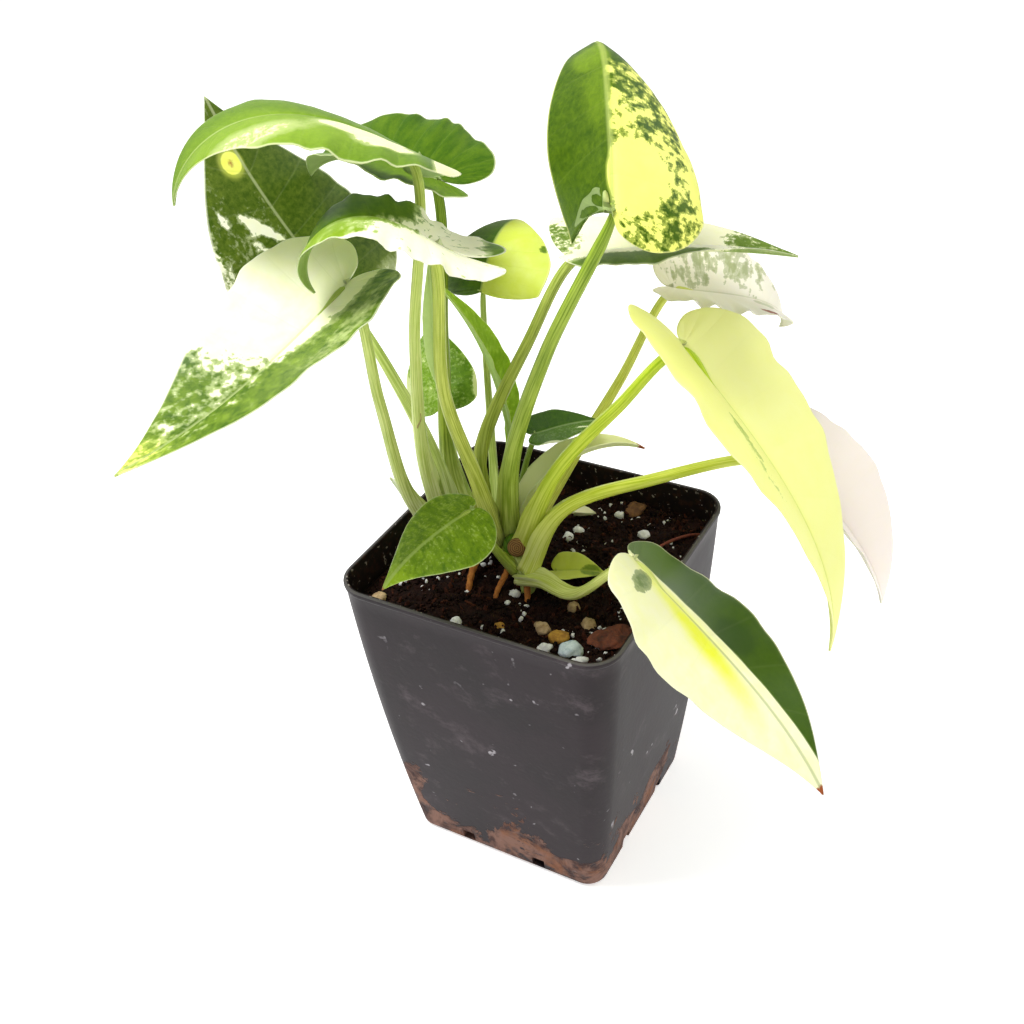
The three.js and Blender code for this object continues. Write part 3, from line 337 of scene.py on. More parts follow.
# How each leaf looks: its greens and its pale colours, the colours of its petiole from foot to top,
# and base values of its left and right half, which meet at split, in half widths from the midrib.
# pale says how much of a half is pale and mottle how broken up it is; shade is how light its greens
# are, yellow how yellow its pale parts and dry how brown. speck is the specks' size in millimetres
# and speck_share their share of the pattern; streaks is how far it follows the veins, and
# green_mottle how broken up the greens are. rib_width and vein_show are the midrib's and the veins',
# ruffle is how high the margin ripples, and ends where along the blade the petiole ends below it.
# A patch is [field, value, x, y, reach along and across the midrib in leaf lengths, turn,
# softness], x in leaf lengths and y in half widths.
LOOKS = {
    "leaf_arch": {
        "colours": ("406608", "86a62c", "f4f4c8", "e8ee7c"),
        "stalk_colours": ("dce0b0", "ccd888", "bccb6c"), "ruffle": 0.7, "pale": (0.0, 0.0),
        "mottle": (0.12, 0.12), "shade": (0.45, 0.4), "yellow": (0.25, 0.25),
        "patches": [
            ["shade", 0.05, -0.12, 0, 0.1, 0.5], ["pale", 0.9, 0.2, 0.3, 0.16, 0.07, -8, 0.4],
            ["pale", 0.6, 0.12, 0.55, 0.12, 0.06, 0, 0.3],
            ["pale", 0.5, 0.6, 0.5, 0.24, 0.08, 8, 0.5], ["pale", 0.9, -0.1, 0.5, 0.05, 0.2],
            # Painted light: this lighter patch over the left, near half is partly its own streak and partly
            # painted sheen, and it leaves the right, far half darker as painted shade
            ["shade", 0.9, 0.6, 0.45, 0.4, 0.2, 0, 0.5],
        ],
    },
    "leaf_back": {
        "colours": ("3a5f04", "809e1c", "f2f6c8", "dfe86a"),
        "stalk_colours": ("c8ce90", "8c9c3c", "78902c"), "ruffle": 0.5, "mottle": (0.05, 0.05),
        "shade": (0.4, 0.15), "streaks": 0.8, "yellow": (0.3, 0.3),
    },
    "leaf_heart": {
        "colours": ("3a5408", "8c9e3c", "f8f8e4", "eef26a"),
        "stalk_colours": ("dce0bc", "b4c078", "9fae5c"), "ruffle": 0.5, "pale": (0.1, 0.02),
        "mottle": (0.42, 0.2), "shade": (0.2, 0.15), "yellow": (0.05, 0.1), "green_mottle": 0.3,
        "vein_show": 0.9, "streaks": 0.3,
        "patches": [
            ["pale", 0.42, 0.45, 0.88, 0.36, 0.06], ["mottle", 0.8, 0.45, 0.88, 0.36, 0.07],
            ["pale", 1.1, 0.32, 0.47, 0.05, 0.03], ["pale", 1.0, 0.37, 0.3, 0.08, 0.012, 22],
            ["pale", 0.9, 0.56, 0.5, 0.05, 0.012], ["pale", 0.8, 0.48, 0.32, 0.03, 0.01],
            ["pale", 1.0, 0.46, 0.22, 0.1, 0.02, 30, 0.2],
            ["pale", 1.2, 0.24, 0.3, 0.07, 0.08, 0, 0.3], ["pale", 1.1, 0.1, 0.6, 0.1, 0.12],
            ["pale", 0.45, -0.08, -0.6, 0.08, 0.12], ["shade", 0.55, -0.08, -0.6, 0.1, 0.15],
            ["yellow", 1, 0.72, 0.1, 0.12, 0.1, 0, 0.6],
            ["mottle", 0.0, 0.73, 0.1, 0.12, 0.1, 0, 0.5],
            ["pale", 1.0, 0.73, 0.1, 0.045, 0.04, 0, 0.9],
            ["dry", 0.6, 0.73, 0.1, 0.022, 0.02, 0, 0.9],
        ],
    },
    "leaf_lance": {
        "colours": ("42640a", "90ac34", "f8f8da", "e9ef66"),
        "stalk_colours": ("dce0b4", "b9c478", "b0be6c"), "split": 0.2, "pale": (0.04, 0.14),
        "mottle": (0.3, 0.7), "shade": (0.3, 0.3), "yellow": (0.2, 0.1), "green_mottle": 0.6,
        "streaks": 0.6, "speck": 2.4, "speck_share": 0.45,
        "patches": [
            ["pale", 1.4, 0.06, -0.55, 0.4, 0.26, -6, 0.35], ["mottle", 0.2, 0.05, -0.55, 0.3, 0.2],
            ["pale", 0.4, 0.62, -0.2, 0.2, 0.05, 4, 0.5], ["shade", 0.05, 0.55, -0.75, 0.16, 0.08],
            ["pale", 0.1, 0.66, -0.45, 0.1, 0.1], ["pale", 0.3, 0.15, 0.75, 0.25, 0.06],
            ["shade", 0.75, 0.92, 0, 0.12, 0.12], ["yellow", 0.9, 0.93, 0, 0.12, 0.12],
            ["pale", 0.5, 0.95, 0, 0.08, 0.05],
        ],
    },
    "leaf_bent": {
        "colours": ("3f6404", "94b428", "f8f8dc", "f0f59c"),
        "stalk_colours": ("c0c478", "b0b858", "b8c262"), "ruffle": 0.7, "pale": (0.12, 0.0),
        "mottle": (0.3, 0.1), "shade": (0.75, 0.15), "yellow": (0.2, 0.2), "streaks": 0.85,
        "green_mottle": 0.2, "speck": 2.2, "speck_share": 0.3,
        "patches": [
            ["pale", 0.95, 0.02, 0.5, 0.36, 0.3, 25, 0.4], ["mottle", 0.8, 0.02, 0.5, 0.4, 0.3],
            ["pale", 0.8, -0.08, -0.4, 0.2, 0.4, 0, 0.4], ["mottle", 0.7, -0.08, -0.4, 0.2, 0.4],
            ["pale", 1.0, 0.6, 0.86, 0.34, 0.045], ["shade", 0.1, 0.5, -0.5, 0.15, 0.15],
            ["pale", 0.45, 0.2, 0.1, 0.12, 0.1],
        ],
    },
    "leaf_mottled": {
        "colours": ("2e4e02", "769418", "f2f49c", "eff278"),
        "stalk_colours": ("b8c46a", "9aac4a", "8ca23c"), "speck_share": 0.42, "pale": (0.0, 0.43),
        "mottle": (0.03, 1.0), "shade": (0.25, 0.2), "yellow": (0.95, 0.95), "green_mottle": 0.3,
        "streaks": 0.35, "speck": 2.4, "rib_width": 1.1, "ends": 0.03,
        "patches": [
            ["pale", 1.5, 0.12, -0.25, 0.11, 0.09, 0, 0.3],
            ["pale", 0.8, 0.78, -0.35, 0.12, 0.1, 0, 0.4],
            ["pale", 0.55, 0.4, -0.95, 0.4, 0.03, 0, 0.4],
            ["pale", 0.4, 0.5, -0.3, 0.2, 0.1, 0, 0.5], ["pale", -0.6, 0.86, -0.1, 0.2, 0.25],
            ["pale", -0.6, 0.7, 0.1, 0.15, 0.1], ["shade", 0.75, 0.62, 0.14, 0.1, 0.06, 20, 0.2],
            ["pale", 0.8, 0.3, -0.9, 0.3, 0.03], ["shade", 0.6, 0.42, 0.12, 0.12, 0.05],
        ],
    },
    "leaf_flat": {
        "colours": ("3c5c0c", "8aa23c", "f2f0d4", "e8ef80"),
        "stalk_colours": ("b4ba64", "9ca64c", "a2ae5c"), "pale": (0.95, 0.75),
        "mottle": (0.3, 0.35), "shade": (0.35, 0.3), "yellow": (0.15, 0.1),
        "patches": [
            ["pale", -0.5, 0.3, -0.9, 0.5, 0.1], ["pale", 0.1, 0.88, 0, 0.2, 0.3],
            ["mottle", 0.8, 0.85, 0, 0.22, 0.3], ["pale", 0.3, -0.04, 0.45, 0.12, 0.16],
            ["mottle", 0.9, -0.04, 0.45, 0.12, 0.16], ["pale", 0.0, 0.15, -0.1, 0.12, 0.05],
        ],
    },
    "leaf_cream": {
        "colours": ("8e9868", "b8be92", "eeeada", "ece6c0"),
        "stalk_colours": ("dedf8c", "d0d46a", "d2d874"), "ruffle": 1.4, "pale": (0.8, 1.1),
        "mottle": (0.5, 0.3), "shade": (0.6, 0.6), "yellow": (0.1, 0.2), "streaks": 0.5,
        "speck": 3.0, "speck_share": 0.2,
        "patches": [
            ["pale", 0.42, 0.17, 0.45, 0.16, 0.2, 30, 0.8],
            ["pale", 0.36, 0.5, 0.5, 0.2, 0.12, 20, 0.8],
            ["mottle", 1.0, 0.3, 0.5, 0.4, 0.2, 0, 0.6],
            ["pale", 0.45, 0.6, -0.2, 0.14, 0.1, 0, 0.8],
            ["dry", 0.9, 0.52, -0.62, 0.05, 0.035, -30],
        ],
    },
    "leaf_yellow": {
        "colours": ("7b9c3e", "c0d266", "f4f6aa", "eff284"),
        "stalk_colours": ("dade7c", "cada50", "b8d034"), "pale": (1.4, 1.4), "mottle": (0.05, 0.05),
        "shade": (0.5, 0.5), "yellow": (0.45, 0.75), "vein_show": 0.35,
        "patches": [
            ["pale", 0.1, 0.3, -0.3, 0.09, 0.02, -6, 0.5],
            ["pale", 0.52, 0.4, -0.42, 0.12, 0.03, -8, 0.6],
            ["mottle", 0.5, 0.35, -0.38, 0.2, 0.09], ["yellow", 1, 0, -0.6, 0.2, 0.1],
        ],
    },
    "leaf_white": {
        "colours": ("b4b594", "d8d2c4", "f3e9e0", "f0e6cc"),
        "stalk_colours": ("e0e48c", "d4de60", "dae470"), "pale": (1.3, 1.3), "mottle": (0.1, 0.1),
        "shade": (0.6, 0.6), "yellow": (0.05, 0.1), "vein_show": 0.4,
    },
    "leaf_front": {
        "colours": ("2c4a00", "5e7c0c", "f4f4cc", "edf238"),
        "stalk_colours": ("dadea4", "ced482", "d4da8e"), "split": 0.13, "pale": (-0.2, 1.3),
        "mottle": (0.0, 0.1), "shade": (0.2, 0.55), "yellow": (0.1, 0.12), "green_mottle": 0.1,
        "rib_width": 0.7,
        "patches": [
            ["yellow", 1.0, 0.32, -0.14, 0.26, 0.055, -5, 0.7],
            ["pale", 0.2, 0.07, -0.35, 0.05, 0.13, 0, 0.7],
            ["mottle", 0.15, 0.07, -0.35, 0.07, 0.16], ["shade", 0.8, 0.07, -0.35, 0.07, 0.16],
            ["shade", -0.1, 0.42, 0.35, 0.07, 0.09], ["shade", 0.6, 0.02, 0.5, 0.12, 0.2],
            ["dry", 0.9, 1.0, 0, 0.035, 0.04],
        ],
    },
    "leaf_low": {
        "colours": ("446a02", "90b020", "e4ecb4", "d4e05c"),
        "stalk_colours": ("b2be6a", "9eae54", "96a850"), "pale": (0.1, 0.14),
        "mottle": (0.42, 0.42), "shade": (0.42, 0.5), "yellow": (0.4, 0.4), "green_mottle": 0.6,
        "speck": 0.9, "streaks": 0.5,
        "patches": [["shade", 1.0, 0.95, 0, 0.2, 0.2], ["dry", 0.8, 1.0, 0, 0.03, 0.03]],
    },
    "leaf_middle": {
        "colours": ("2f5204", "70901c", "e4e8a8", "c2ce4c"),
        "stalk_colours": ("c4ce8a", "b2c070", "a2b260"), "pale": (-0.1, 1.2),
        "mottle": (0.08, 0.08), "shade": (0.25, 0.5), "yellow": (0.95, 0.95),
        "patches": [["pale", 0.0, 0.45, -0.78, 0.05, 0.05], ["shade", 0.6, 0.8, 0.3, 0.2, 0.2]],
    },
    "leaf_round": {
        "colours": ("4a7412", "94b83a", "e8edc8", "ccd874"),
        "stalk_colours": ("c8d094", "b2c074", "a2b264"), "pale": (0.25, 0.12), "mottle": (0.5, 0.5),
        "shade": (0.6, 0.35), "yellow": (0.5, 0.4), "green_mottle": 0.5, "speck": 0.9,
        "patches": [["pale", 1.0, 0.1, 0.95, 0.4, 0.07], ["pale", 0.9, 0.1, -1, 0.3, 0.05]],
    },
    "leaf_small": {
        "colours": ("2c500a", "648a20", "e8ecd4", "c4d270"),
        "stalk_colours": ("a2b068", "829644", "7a8e3a"), "pale": (0.0, 0.12), "mottle": (0.1, 0.35),
        "shade": (0.25, 0.5), "yellow": (0.2, 0.2), "speck": 0.8,
        "patches": [["pale", 1, 0.68, -0.3, 0.09, 0.02], ["pale", 0.9, 0.15, -1, 0.2, 0.06]],
    },
    "leaf_baby": {
        "colours": ("52701a", "a2b43e", "dfe592", "c4cf4a"),
        "stalk_colours": ("d2d97e", "c8d070", "c4cf60"), "pale": (1.0, 1.0), "mottle": (0.1, 0.1),
        "shade": (0.4, 0.4), "yellow": (0.85, 0.85), "speck": 0.9,
        "patches": [["pale", -0.2, 0.68, -0.05, 0.2, 0.17], ["mottle", 0.4, 0.68, 0, 0.25, 0.2]],
    },
    "leaf_rolled": {
        "colours": ("6a9a14", "b8d83c", "eaf2a6", "d4e656"),
        "stalk_colours": ("c6d878", "a9c83e", "9cc030"), "pale": (0.05, 0.15), "mottle": (0.3, 0.3),
        "shade": (0.5, 0.6), "yellow": (0.6, 0.6), "streaks": 0.9,
    },
}
for name, look in LOOKS.items():
    LEAVES[name].update(look)


# Camera at the photograph's viewing angle
def add_camera():
    data = bpy.data.cameras.new("camera")
    data.lens, data.sensor_width, data.clip_start = LENS, SENSOR, NEAREST
    camera = bpy.data.objects.new("camera", data)
    turn = Matrix((CAMERA_RIGHT, CAMERA_UP, CAMERA_BACK)).transposed().to_4x4()
    camera.matrix_world = Matrix.Translation(Vector(CAMERA_PLACE)) @ turn
    scene.collection.objects.link(camera)
    scene.camera = camera


# Helpers for vectors and curves
def unit(v):
    return v / np.maximum(np.linalg.norm(v, axis=-1, keepdims=True), 1e-9)


def turned(v, axis, angle):
    c, s = math.cos(angle), math.sin(angle)
    return v * c + np.cross(axis, v) * s + axis * np.dot(axis, v) * (1 - c)


def smooth(low, high, value):
    t = np.clip((value - low) / (high - low), 0, 1)
    return t * t * (3 - 2 * t)


def through(rows, u):
    """A smooth curve through rows, 0 at the first and 1 at the last"""
    rows = np.asarray(rows, float)
    last = len(rows) - 1
    padded = np.concatenate([2 * rows[:1] - rows[1:2], rows, 2 * rows[-1:] - rows[-2:-1]])
    k = np.minimum((np.clip(u, 0, 1) * last).astype(int), last - 1)
    t = (np.clip(u, 0, 1) * last - k).reshape(np.shape(u) + (1,) * (rows.ndim - 1))
    p0, p1, p2, p3 = (padded[k + i] for i in range(4))
    return 0.5 * (2 * p1 + (p2 - p0) * t + (2 * p0 - 5 * p1 + 4 * p2 - p3) * t**2
                  + (3 * p1 - p0 - 3 * p2 + p3) * t**3)


# A mesh as a piece of the object, which stands for a CAD node
def add_piece(name, body, material, node):
    vertices, faces, *fields = body
    mesh = new_mesh(name, vertices, faces)
    for key, values in (fields[0] if fields else {}).items():
        layer = mesh.attributes.new(key, "FLOAT_VECTOR", "POINT")
        layer.data.foreach_set("vector", np.asarray(values, np.float32).ravel())
    mesh.materials.append(material)
    mesh.shade_smooth()
    return declare(linked(name, mesh), node)


def new_mesh(name, vertices, faces):
    mesh = bpy.data.meshes.new(name)
    mesh.from_pydata((np.asarray(vertices, float) * MM).tolist(), [], faces)
    return mesh


def plain_object(name, body):
    return linked(name, new_mesh(name, *body))


def declare(piece, node):
    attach(piece, "root")
    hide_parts(node)
    return piece


def linked(name, mesh):
    made = bpy.data.objects.new(name, mesh)
    scene.collection.objects.link(made)
    return made


# The midrib of a blade: its points, with the directions along it, up from the blade and to its left
def midrib_frames(leaf):
    yaw, pitch, roll = np.radians([leaf["yaw"], leaf["pitch"], leaf["roll"]])
    cy, sy, cp, sp = math.cos(yaw), math.sin(yaw), math.cos(pitch), math.sin(pitch)
    along = np.array([cy * cp, sy * cp, sp])
    up = turned(np.array([-cy * sp, -sy * sp, cp]), along, roll)
    left = np.cross(up, along)
    place = np.array(leaf["at"], float)
    bend, sway, twist = np.radians([leaf["bend"], leaf["sway"], leaf["twist"]])
    rows = [(place, along, up, left)]
    for i in range(STEPS):
        place = place + along * leaf["length"] / STEPS
        share = ((i + 1) / STEPS) ** leaf["bendPower"] - (i / STEPS) ** leaf["bendPower"]
        along, up = turned(along, left, bend * share), turned(up, left, bend * share)
        along = turned(along, up, sway / STEPS)
        up = turned(up, along, twist / STEPS)
        left = np.cross(up, along)
        rows.append((place, along, up, left))
    return np.array(rows)


def frames_at(leaf, frames, x):
    found = through(frames, np.asarray(x, float) / leaf["length"])
    found[..., 1:, :] = unit(found[..., 1:, :])
    return found


# Points of a blade's middle surface, x along the midrib and y out from it on side 1 or -1
def blade_points(leaf, frames, x, y, side):
    half = leaf["width"] / 2
    which = 0 if side > 0 else 1
    found = frames_at(leaf, frames, x)
    place, along, up, left = (found[..., i, :] for i in range(4))
    back = np.maximum(-x, 0)
    sink = math.radians(leaf["drop"]) * back / (LOBE_LENGTH * leaf["length"]) / 2
    start = math.radians(leaf["fold"][which])
    turn = math.radians(leaf["cup"][which] or 0.1) / half
    end = start + turn * y
    out = (np.sin(end) - math.sin(start)) / turn
    rise = (math.cos(start) - np.cos(end)) / turn
    phase = WAVE_TURNS * math.pi * x / leaf["length"] + (WAVE_SHIFT if side > 0 else 0)
    rise = rise + leaf.get("wave", 0) * np.sin(phase) * (y / half) ** 2
    ripple = np.sin(RIPPLE * phase + leaf["seed"]) + FINE_SHARE * np.sin(FINE_RIPPLE * phase + 2 * side)
    ruffle = leaf.get("ruffle", RUFFLE_GROWTH * (leaf["length"] - RUFFLE_FROM))
    off_tip = smooth(0, 0.2, 1 - x / leaf["length"])
    rise = rise + ruffle * ripple * np.minimum(y / half, 1) ** 3 * off_tip
    return (place - along * (back * np.cos(sink))[..., None]
            + up * (rise - back * np.sin(sink))[..., None] + left * (side * out)[..., None])


# Where a blade's net has its points on the way from the midrib along the veins to the margin
CUTS = np.array([0, 0.012, 0.028, 0.05, 0.085, 0.13, 0.19, 0.26, 0.34, 0.42, 0.5, 0.58, 0.66, 0.74,
                 0.81, 0.87, 0.92, 0.96, 0.985, 1])


def blade_sheet(leaf, lines):
    """Points of a blade's middle surface, their places on the leaf, and faces"""
    frames = midrib_frames(leaf)
    outline = leaf.get("outline", HEART)
    start = 0 if "outline" in leaf else VEIN_START
    a = np.linspace(0, 1, lines + 1)
    edge = through(outline, a)
    points, places, faces = [], [], []
    for side in (1, -1):
        lobe = leaf.get("lobes", [LOBE_LENGTH] * 2)[0 if side > 0 else 1]
        edge_x = np.where(edge[:, 0] < 0, edge[:, 0] * lobe / LOBE_LENGTH, edge[:, 0])
        edge_x = edge_x * leaf["length"]
        edge_y = np.maximum(edge[:, 1], 0) * leaf["width"] / 2
        rib_x = np.maximum(0, (a - start) / (1 - start)) ** VEIN_LEAN * leaf["length"]
        x = rib_x[:, None] + (edge_x - rib_x)[:, None] * CUTS**1.12
        y = edge_y[:, None] * CUTS
        points.append(blade_points(leaf, frames, x, y, side).reshape(-1, 3))
        t = np.broadcast_to(CUTS, x.shape)
        line = np.broadcast_to(a[:, None], x.shape)
        places.append(np.stack([x, side * y, line, t], -1).reshape(-1, 4))
        count = len(CUTS)
        first = 0 if side > 0 else (lines + 1) * count
        for i in range(lines):
            for j in range(count - 1):
                k = first + i * count + j
                quad = [k, k + count, k + count + 1, k + 1]
                faces.append(quad if side > 0 else quad[::-1])
    points, places = np.concatenate(points), np.concatenate(places)
    # Both halves join where their points are the same
    key = np.round(points / SAME_POINT).astype(np.int64)
    _, kept, new = np.unique(key, axis=0, return_index=True, return_inverse=True)
    new = new.ravel()
    merged = []
    for quad in faces:
        corners = []
        for k in quad:
            if new[k] not in corners:
                corners.append(int(new[k]))
        if len(corners) > 2:
            merged.append(corners)
    return points[kept], places[kept], merged


def sheet_normals(points, faces):
    normals = np.zeros_like(points)
    for size in (3, 4):
        chosen = np.array([f for f in faces if len(f) == size])
        if not len(chosen):
            continue
        a, b, c, d = (points[chosen[:, i % size]] for i in (0, 1, 2, 3))
        face = np.cross(c - a, d - b) if size == 4 else np.cross(b - a, c - a)
        for i in range(size):
            np.add.at(normals, chosen[:, i], face)
    return unit(normals)


# A blade as a thin closed body: an upper and an under face, with the midrib standing out below
def blade_body(leaf, lines):
    points, places, faces = blade_sheet(leaf, lines)
    x, y, a, t = places.T
    length, half = leaf["length"], leaf["width"] / 2
    normals = sheet_normals(points, faces)
    rib_top = leaf.get("radii", (1, 0.7))[1] * RIB_SHARE
    rib = (RIB_LEAST + rib_top * np.maximum(0, 1 - x / length) ** 0.8) * smooth(-3, 1, x)
    ridge = np.sqrt(np.maximum(0, rib**2 - (y * 0.8) ** 2))
    from_rib = np.abs(y) / np.maximum(0.75 * rib, 0.05)
    groove = GROOVE * rib * np.exp(-(from_rib**2)) * smooth(-3, 3, x)
    swell = np.abs(np.sin(np.pi * VEINS * a))
    quilt = leaf.get("quilt", QUILT) * (swell**0.7 - 0.6) * smooth(0.5, 5, np.abs(y)) * (1 - t**6)
    edge = HALF_THICK * (1 - 0.65 * smooth(0.9, 1, t))
    upper = points + normals * (quilt + edge - groove)[:, None]
    lower = points + normals * (quilt - edge - ridge)[:, None]
    count = len(points)
    corners = list(faces) + [[k + count for k in reversed(f)] for f in faces]
    used = {}
    for f in faces:
        for i, k in enumerate(f):
            used[(k, f[(i + 1) % len(f)])] = True
    for k, m in list(used):
        if (m, k) not in used:
            corners.append([k, k + count, m + count, m])
    under = np.repeat([0.0, 1.0], count)
    twice = np.concatenate([places, places])
    fields = {
        "leaf_map": np.stack([twice[:, 0], twice[:, 1], np.full(2 * count, leaf["seed"])], -1),
        "vein_map": np.stack([twice[:, 2], twice[:, 3] * np.sign(twice[:, 1]), under], -1),
    }
    tint, tone = painted(leaf, twice[:, 0] / length, twice[:, 1] / half)
    fields["tint"], fields["tone"] = tint, tone
    return np.concatenate([upper, lower]), corners, fields


# The colour fields of a blade: base values of its halves, then soft patches laid over them in turn
FIELDS = ("pale", "mottle", "yellow", "shade", "dry")
SPLIT_BLEND = 0.04


def painted(leaf, x, y):
    edge = leaf.get("split", 0)
    to_left = smooth(edge - SPLIT_BLEND, edge + SPLIT_BLEND, y)
    values = {}
    for key in FIELDS:
        left, right = leaf.get(key, (0.0, 0.0))
        values[key] = right + (left - right) * to_left
    across = leaf["width"] / leaf["length"] / 2
    for key, value, px, py, rx, ry, *more in leaf.get("patches", ()):
        turn = math.radians(more[0]) if more else 0
        soft = more[1] if len(more) > 1 else 0.5
        dx, dy = x - px, (y - py) * across
        u = (dx * math.cos(turn) + dy * math.sin(turn)) / rx
        v = (-dx * math.sin(turn) + dy * math.cos(turn)) / ry
        share = 1 - smooth(1 - soft, 1 + soft, np.sqrt(u * u + v * v))
        values[key] = values[key] + (value - values[key]) * share
    tint = np.stack([values["pale"], values["mottle"], values["yellow"]], -1)
    return tint, np.stack([values["shade"], values["dry"], np.zeros_like(x)], -1)


# A route's even steps, as a centripetal curve: their points and directions, and its length
def route_steps(route, count):
    p = [np.array(q, float) for q in route]
    p = [2 * p[0] - p[1]] + p + [2 * p[-1] - p[-2]]
    dense = []
    for k in range(1, len(p) - 2):
        p0, p1, p2, p3 = p[k - 1:k + 3]
        gaps = (p1 - p0, p2 - p1, p3 - p2)
        d0, d1, d2 = (max(np.linalg.norm(gap), 1e-6) ** 0.5 for gap in gaps)
        m1 = ((p1 - p0) / d0 - (p2 - p0) / (d0 + d1) + (p2 - p1) / d1) * d1
        m2 = ((p2 - p1) / d1 - (p3 - p1) / (d1 + d2) + (p3 - p2) / d2) * d1
        for t in np.linspace(0, 1, 40, endpoint=False):
            dense.append((2 * t**3 - 3 * t**2 + 1) * p1 + (t**3 - 2 * t**2 + t) * m1
                         + (3 * t**2 - 2 * t**3) * p2 + (t**3 - t**2) * m2)
    dense.append(p[-2])
    dense = np.array(dense)
    passed = np.concatenate([[0], np.cumsum(np.linalg.norm(np.diff(dense, axis=0), axis=1))])
    wanted = np.linspace(0, 1, count + 1) * passed[-1]
    points = np.stack([np.interp(wanted, passed, dense[:, i]) for i in range(3)], -1)
    slopes = np.gradient(dense, passed, axis=0)
    along = unit(np.stack([np.interp(wanted, passed, slopes[:, i]) for i in range(3)], -1))
    return points, along, passed[-1]


def closed_faces(rings, count):
    """Faces of a body through rings of count points, whose ends close in two points that follow them"""
    faces = []
    for k in range(rings - 1):
        for j in range(count):
            m = (j + 1) % count
            faces.append([k * count + j, k * count + m, (k + 1) * count + m, (k + 1) * count + j])
    end = (rings - 1) * count
    for j in range(count):
        m = (j + 1) % count
        faces.append([end + count, m, j])
        faces.append([end + count + 1, end + j, end + m])
    return faces


# A closed tube along a route. section(angle, s) is its radius, and angle 0 faces facing.
def tube_body(route, section, sides, count, facing=(0, 0, 1.0), flat=1.0, seed=0.0):
    points, along, length = route_steps(route, count)
    s = np.linspace(0, 1, count + 1)
    side = unit(np.cross(np.broadcast_to(facing, points.shape), along))
    up = np.cross(along, side)
    angle = np.linspace(-np.pi, np.pi, sides, endpoint=False)
    radius = section(angle[None, :], s[:, None]) * np.ones((count + 1, sides))
    ring = (up[:, None] * (np.cos(angle) / flat * radius)[..., None]
            + side[:, None] * (np.sin(angle) * flat * radius)[..., None])
    vertices = (points[:, None] + ring).reshape(-1, 3)
    vertices = np.concatenate([vertices, points[:1], points[-1:]])
    around = np.broadcast_to(angle[None, :], radius.shape).reshape(-1)
    down = np.broadcast_to(s[:, None], radius.shape).reshape(-1)
    around, down = np.append(around, [0, 0]), np.append(down, [0, 1])
    fields = {
        "stalk_map": np.stack([down * length, around, np.full(len(down), seed)], -1),
        "stalk_place": np.stack([down, 0 * down, 0 * down], -1),
    }
    return vertices, closed_faces(count + 1, sides), fields


def stalk_route(leaf):
    frames = midrib_frames(leaf)
    ends = []
    top = leaf["radii"][1]
    for x, depth in ((STALK_MEETS, top), (leaf.get("ends", STALK_ENDS), top / 2)):
        found = frames_at(leaf, frames, np.array([x * leaf["length"]]))[0]
        ends.append(list(found[0] - found[2] * depth))
    return leaf["stalk"] + ends


# A petiole: channelled on its upper side, with two thin wings that clasp at its foot
def stalk_body(leaf):
    base, top = leaf["radii"]
    route = stalk_route(leaf)
    points = route_steps(route, STALK_STEPS)[0]
    inward = unit(np.array([CROWN_MIDDLE, 0, 0]) - points * [1, 1, 0])
    facing = (0, 0, 1.0) if "flat" in leaf else unit(np.array([0, 0, 1.0]) + 0.8 * inward)

    def section(angle, s):
        thinning = top + (base - top) * (1 - s) ** STALK_THINS
        rounding = top * (1 - (s - STALK_ROUND) / (2 - 2 * STALK_ROUND))
        core = np.where(s < STALK_ROUND, thinning, rounding)
        channel = 1 - CHANNEL_DEPTH * np.exp(-((angle / CHANNEL_WIDTH) ** 2)) * smooth(0, 0.2, s)
        rise = WING_HEIGHT * smooth(WING_REACH, WING_REACH * 0.35, s)
        rise = rise * (1 + 0.15 * np.sin(s * 40 + leaf["seed"]))
        edges = rise * np.exp(-(((np.abs(angle) - WING_ANGLE) / WING_WIDTH) ** 2))
        return core * (channel + edges)

    return tube_body(route, section, STALK_SIDES, STALK_STEPS, facing, leaf.get("flat", 1.0), leaf["seed"])


# The pot's square rings, anticlockwise seen from above, with even points along their straight sides
def square_ring(half, corner, z, arc=9, run=12):
    flat = half - corner
    ring = []
    for quarter in range(4):
        c, s = round(math.cos(quarter * math.pi / 2)), round(math.sin(quarter * math.pi / 2))
        local = []
        for j in range(arc):
            angle = math.pi / 2 * j / (arc - 1)
            local.append((flat + corner * math.cos(angle), flat + corner * math.sin(angle)))
        for j in range(1, run):
            local.append((flat - 2 * flat * j / run, half))
        ring += [(x * c - y * s, x * s + y * c, z) for x, y in local]
    return np.array(ring)


def wall_half(z):
    s = z / POT_HEIGHT
    return BASE_HALF + (RIM_HALF - BASE_HALF) * s + 4 * WALL_BULGE * s * (1 - s)


def wall_ring(z, inset):
    corner = BASE_CORNER + (RIM_CORNER - BASE_CORNER) * (z / POT_HEIGHT)
    return square_ring(wall_half(z) - inset, max(corner - inset, 2), z)


def lofted(rings):
    """A closed body through rings of equal count that run anticlockwise seen from the last one's side"""
    vertices = np.concatenate([*rings, [rings[0].mean(0)], [rings[-1].mean(0)]])
    return vertices, closed_faces(len(rings), len(rings[0]))


def evaluated(source, name):
    """The evaluated mesh of an object as a plain new object, and the source is removed"""
    shown = source.evaluated_get(bpy.context.evaluated_depsgraph_get())
    mesh = bpy.data.meshes.new_from_object(shown)
    mesh.name = name
    bpy.data.objects.remove(source)
    return linked(name, mesh)


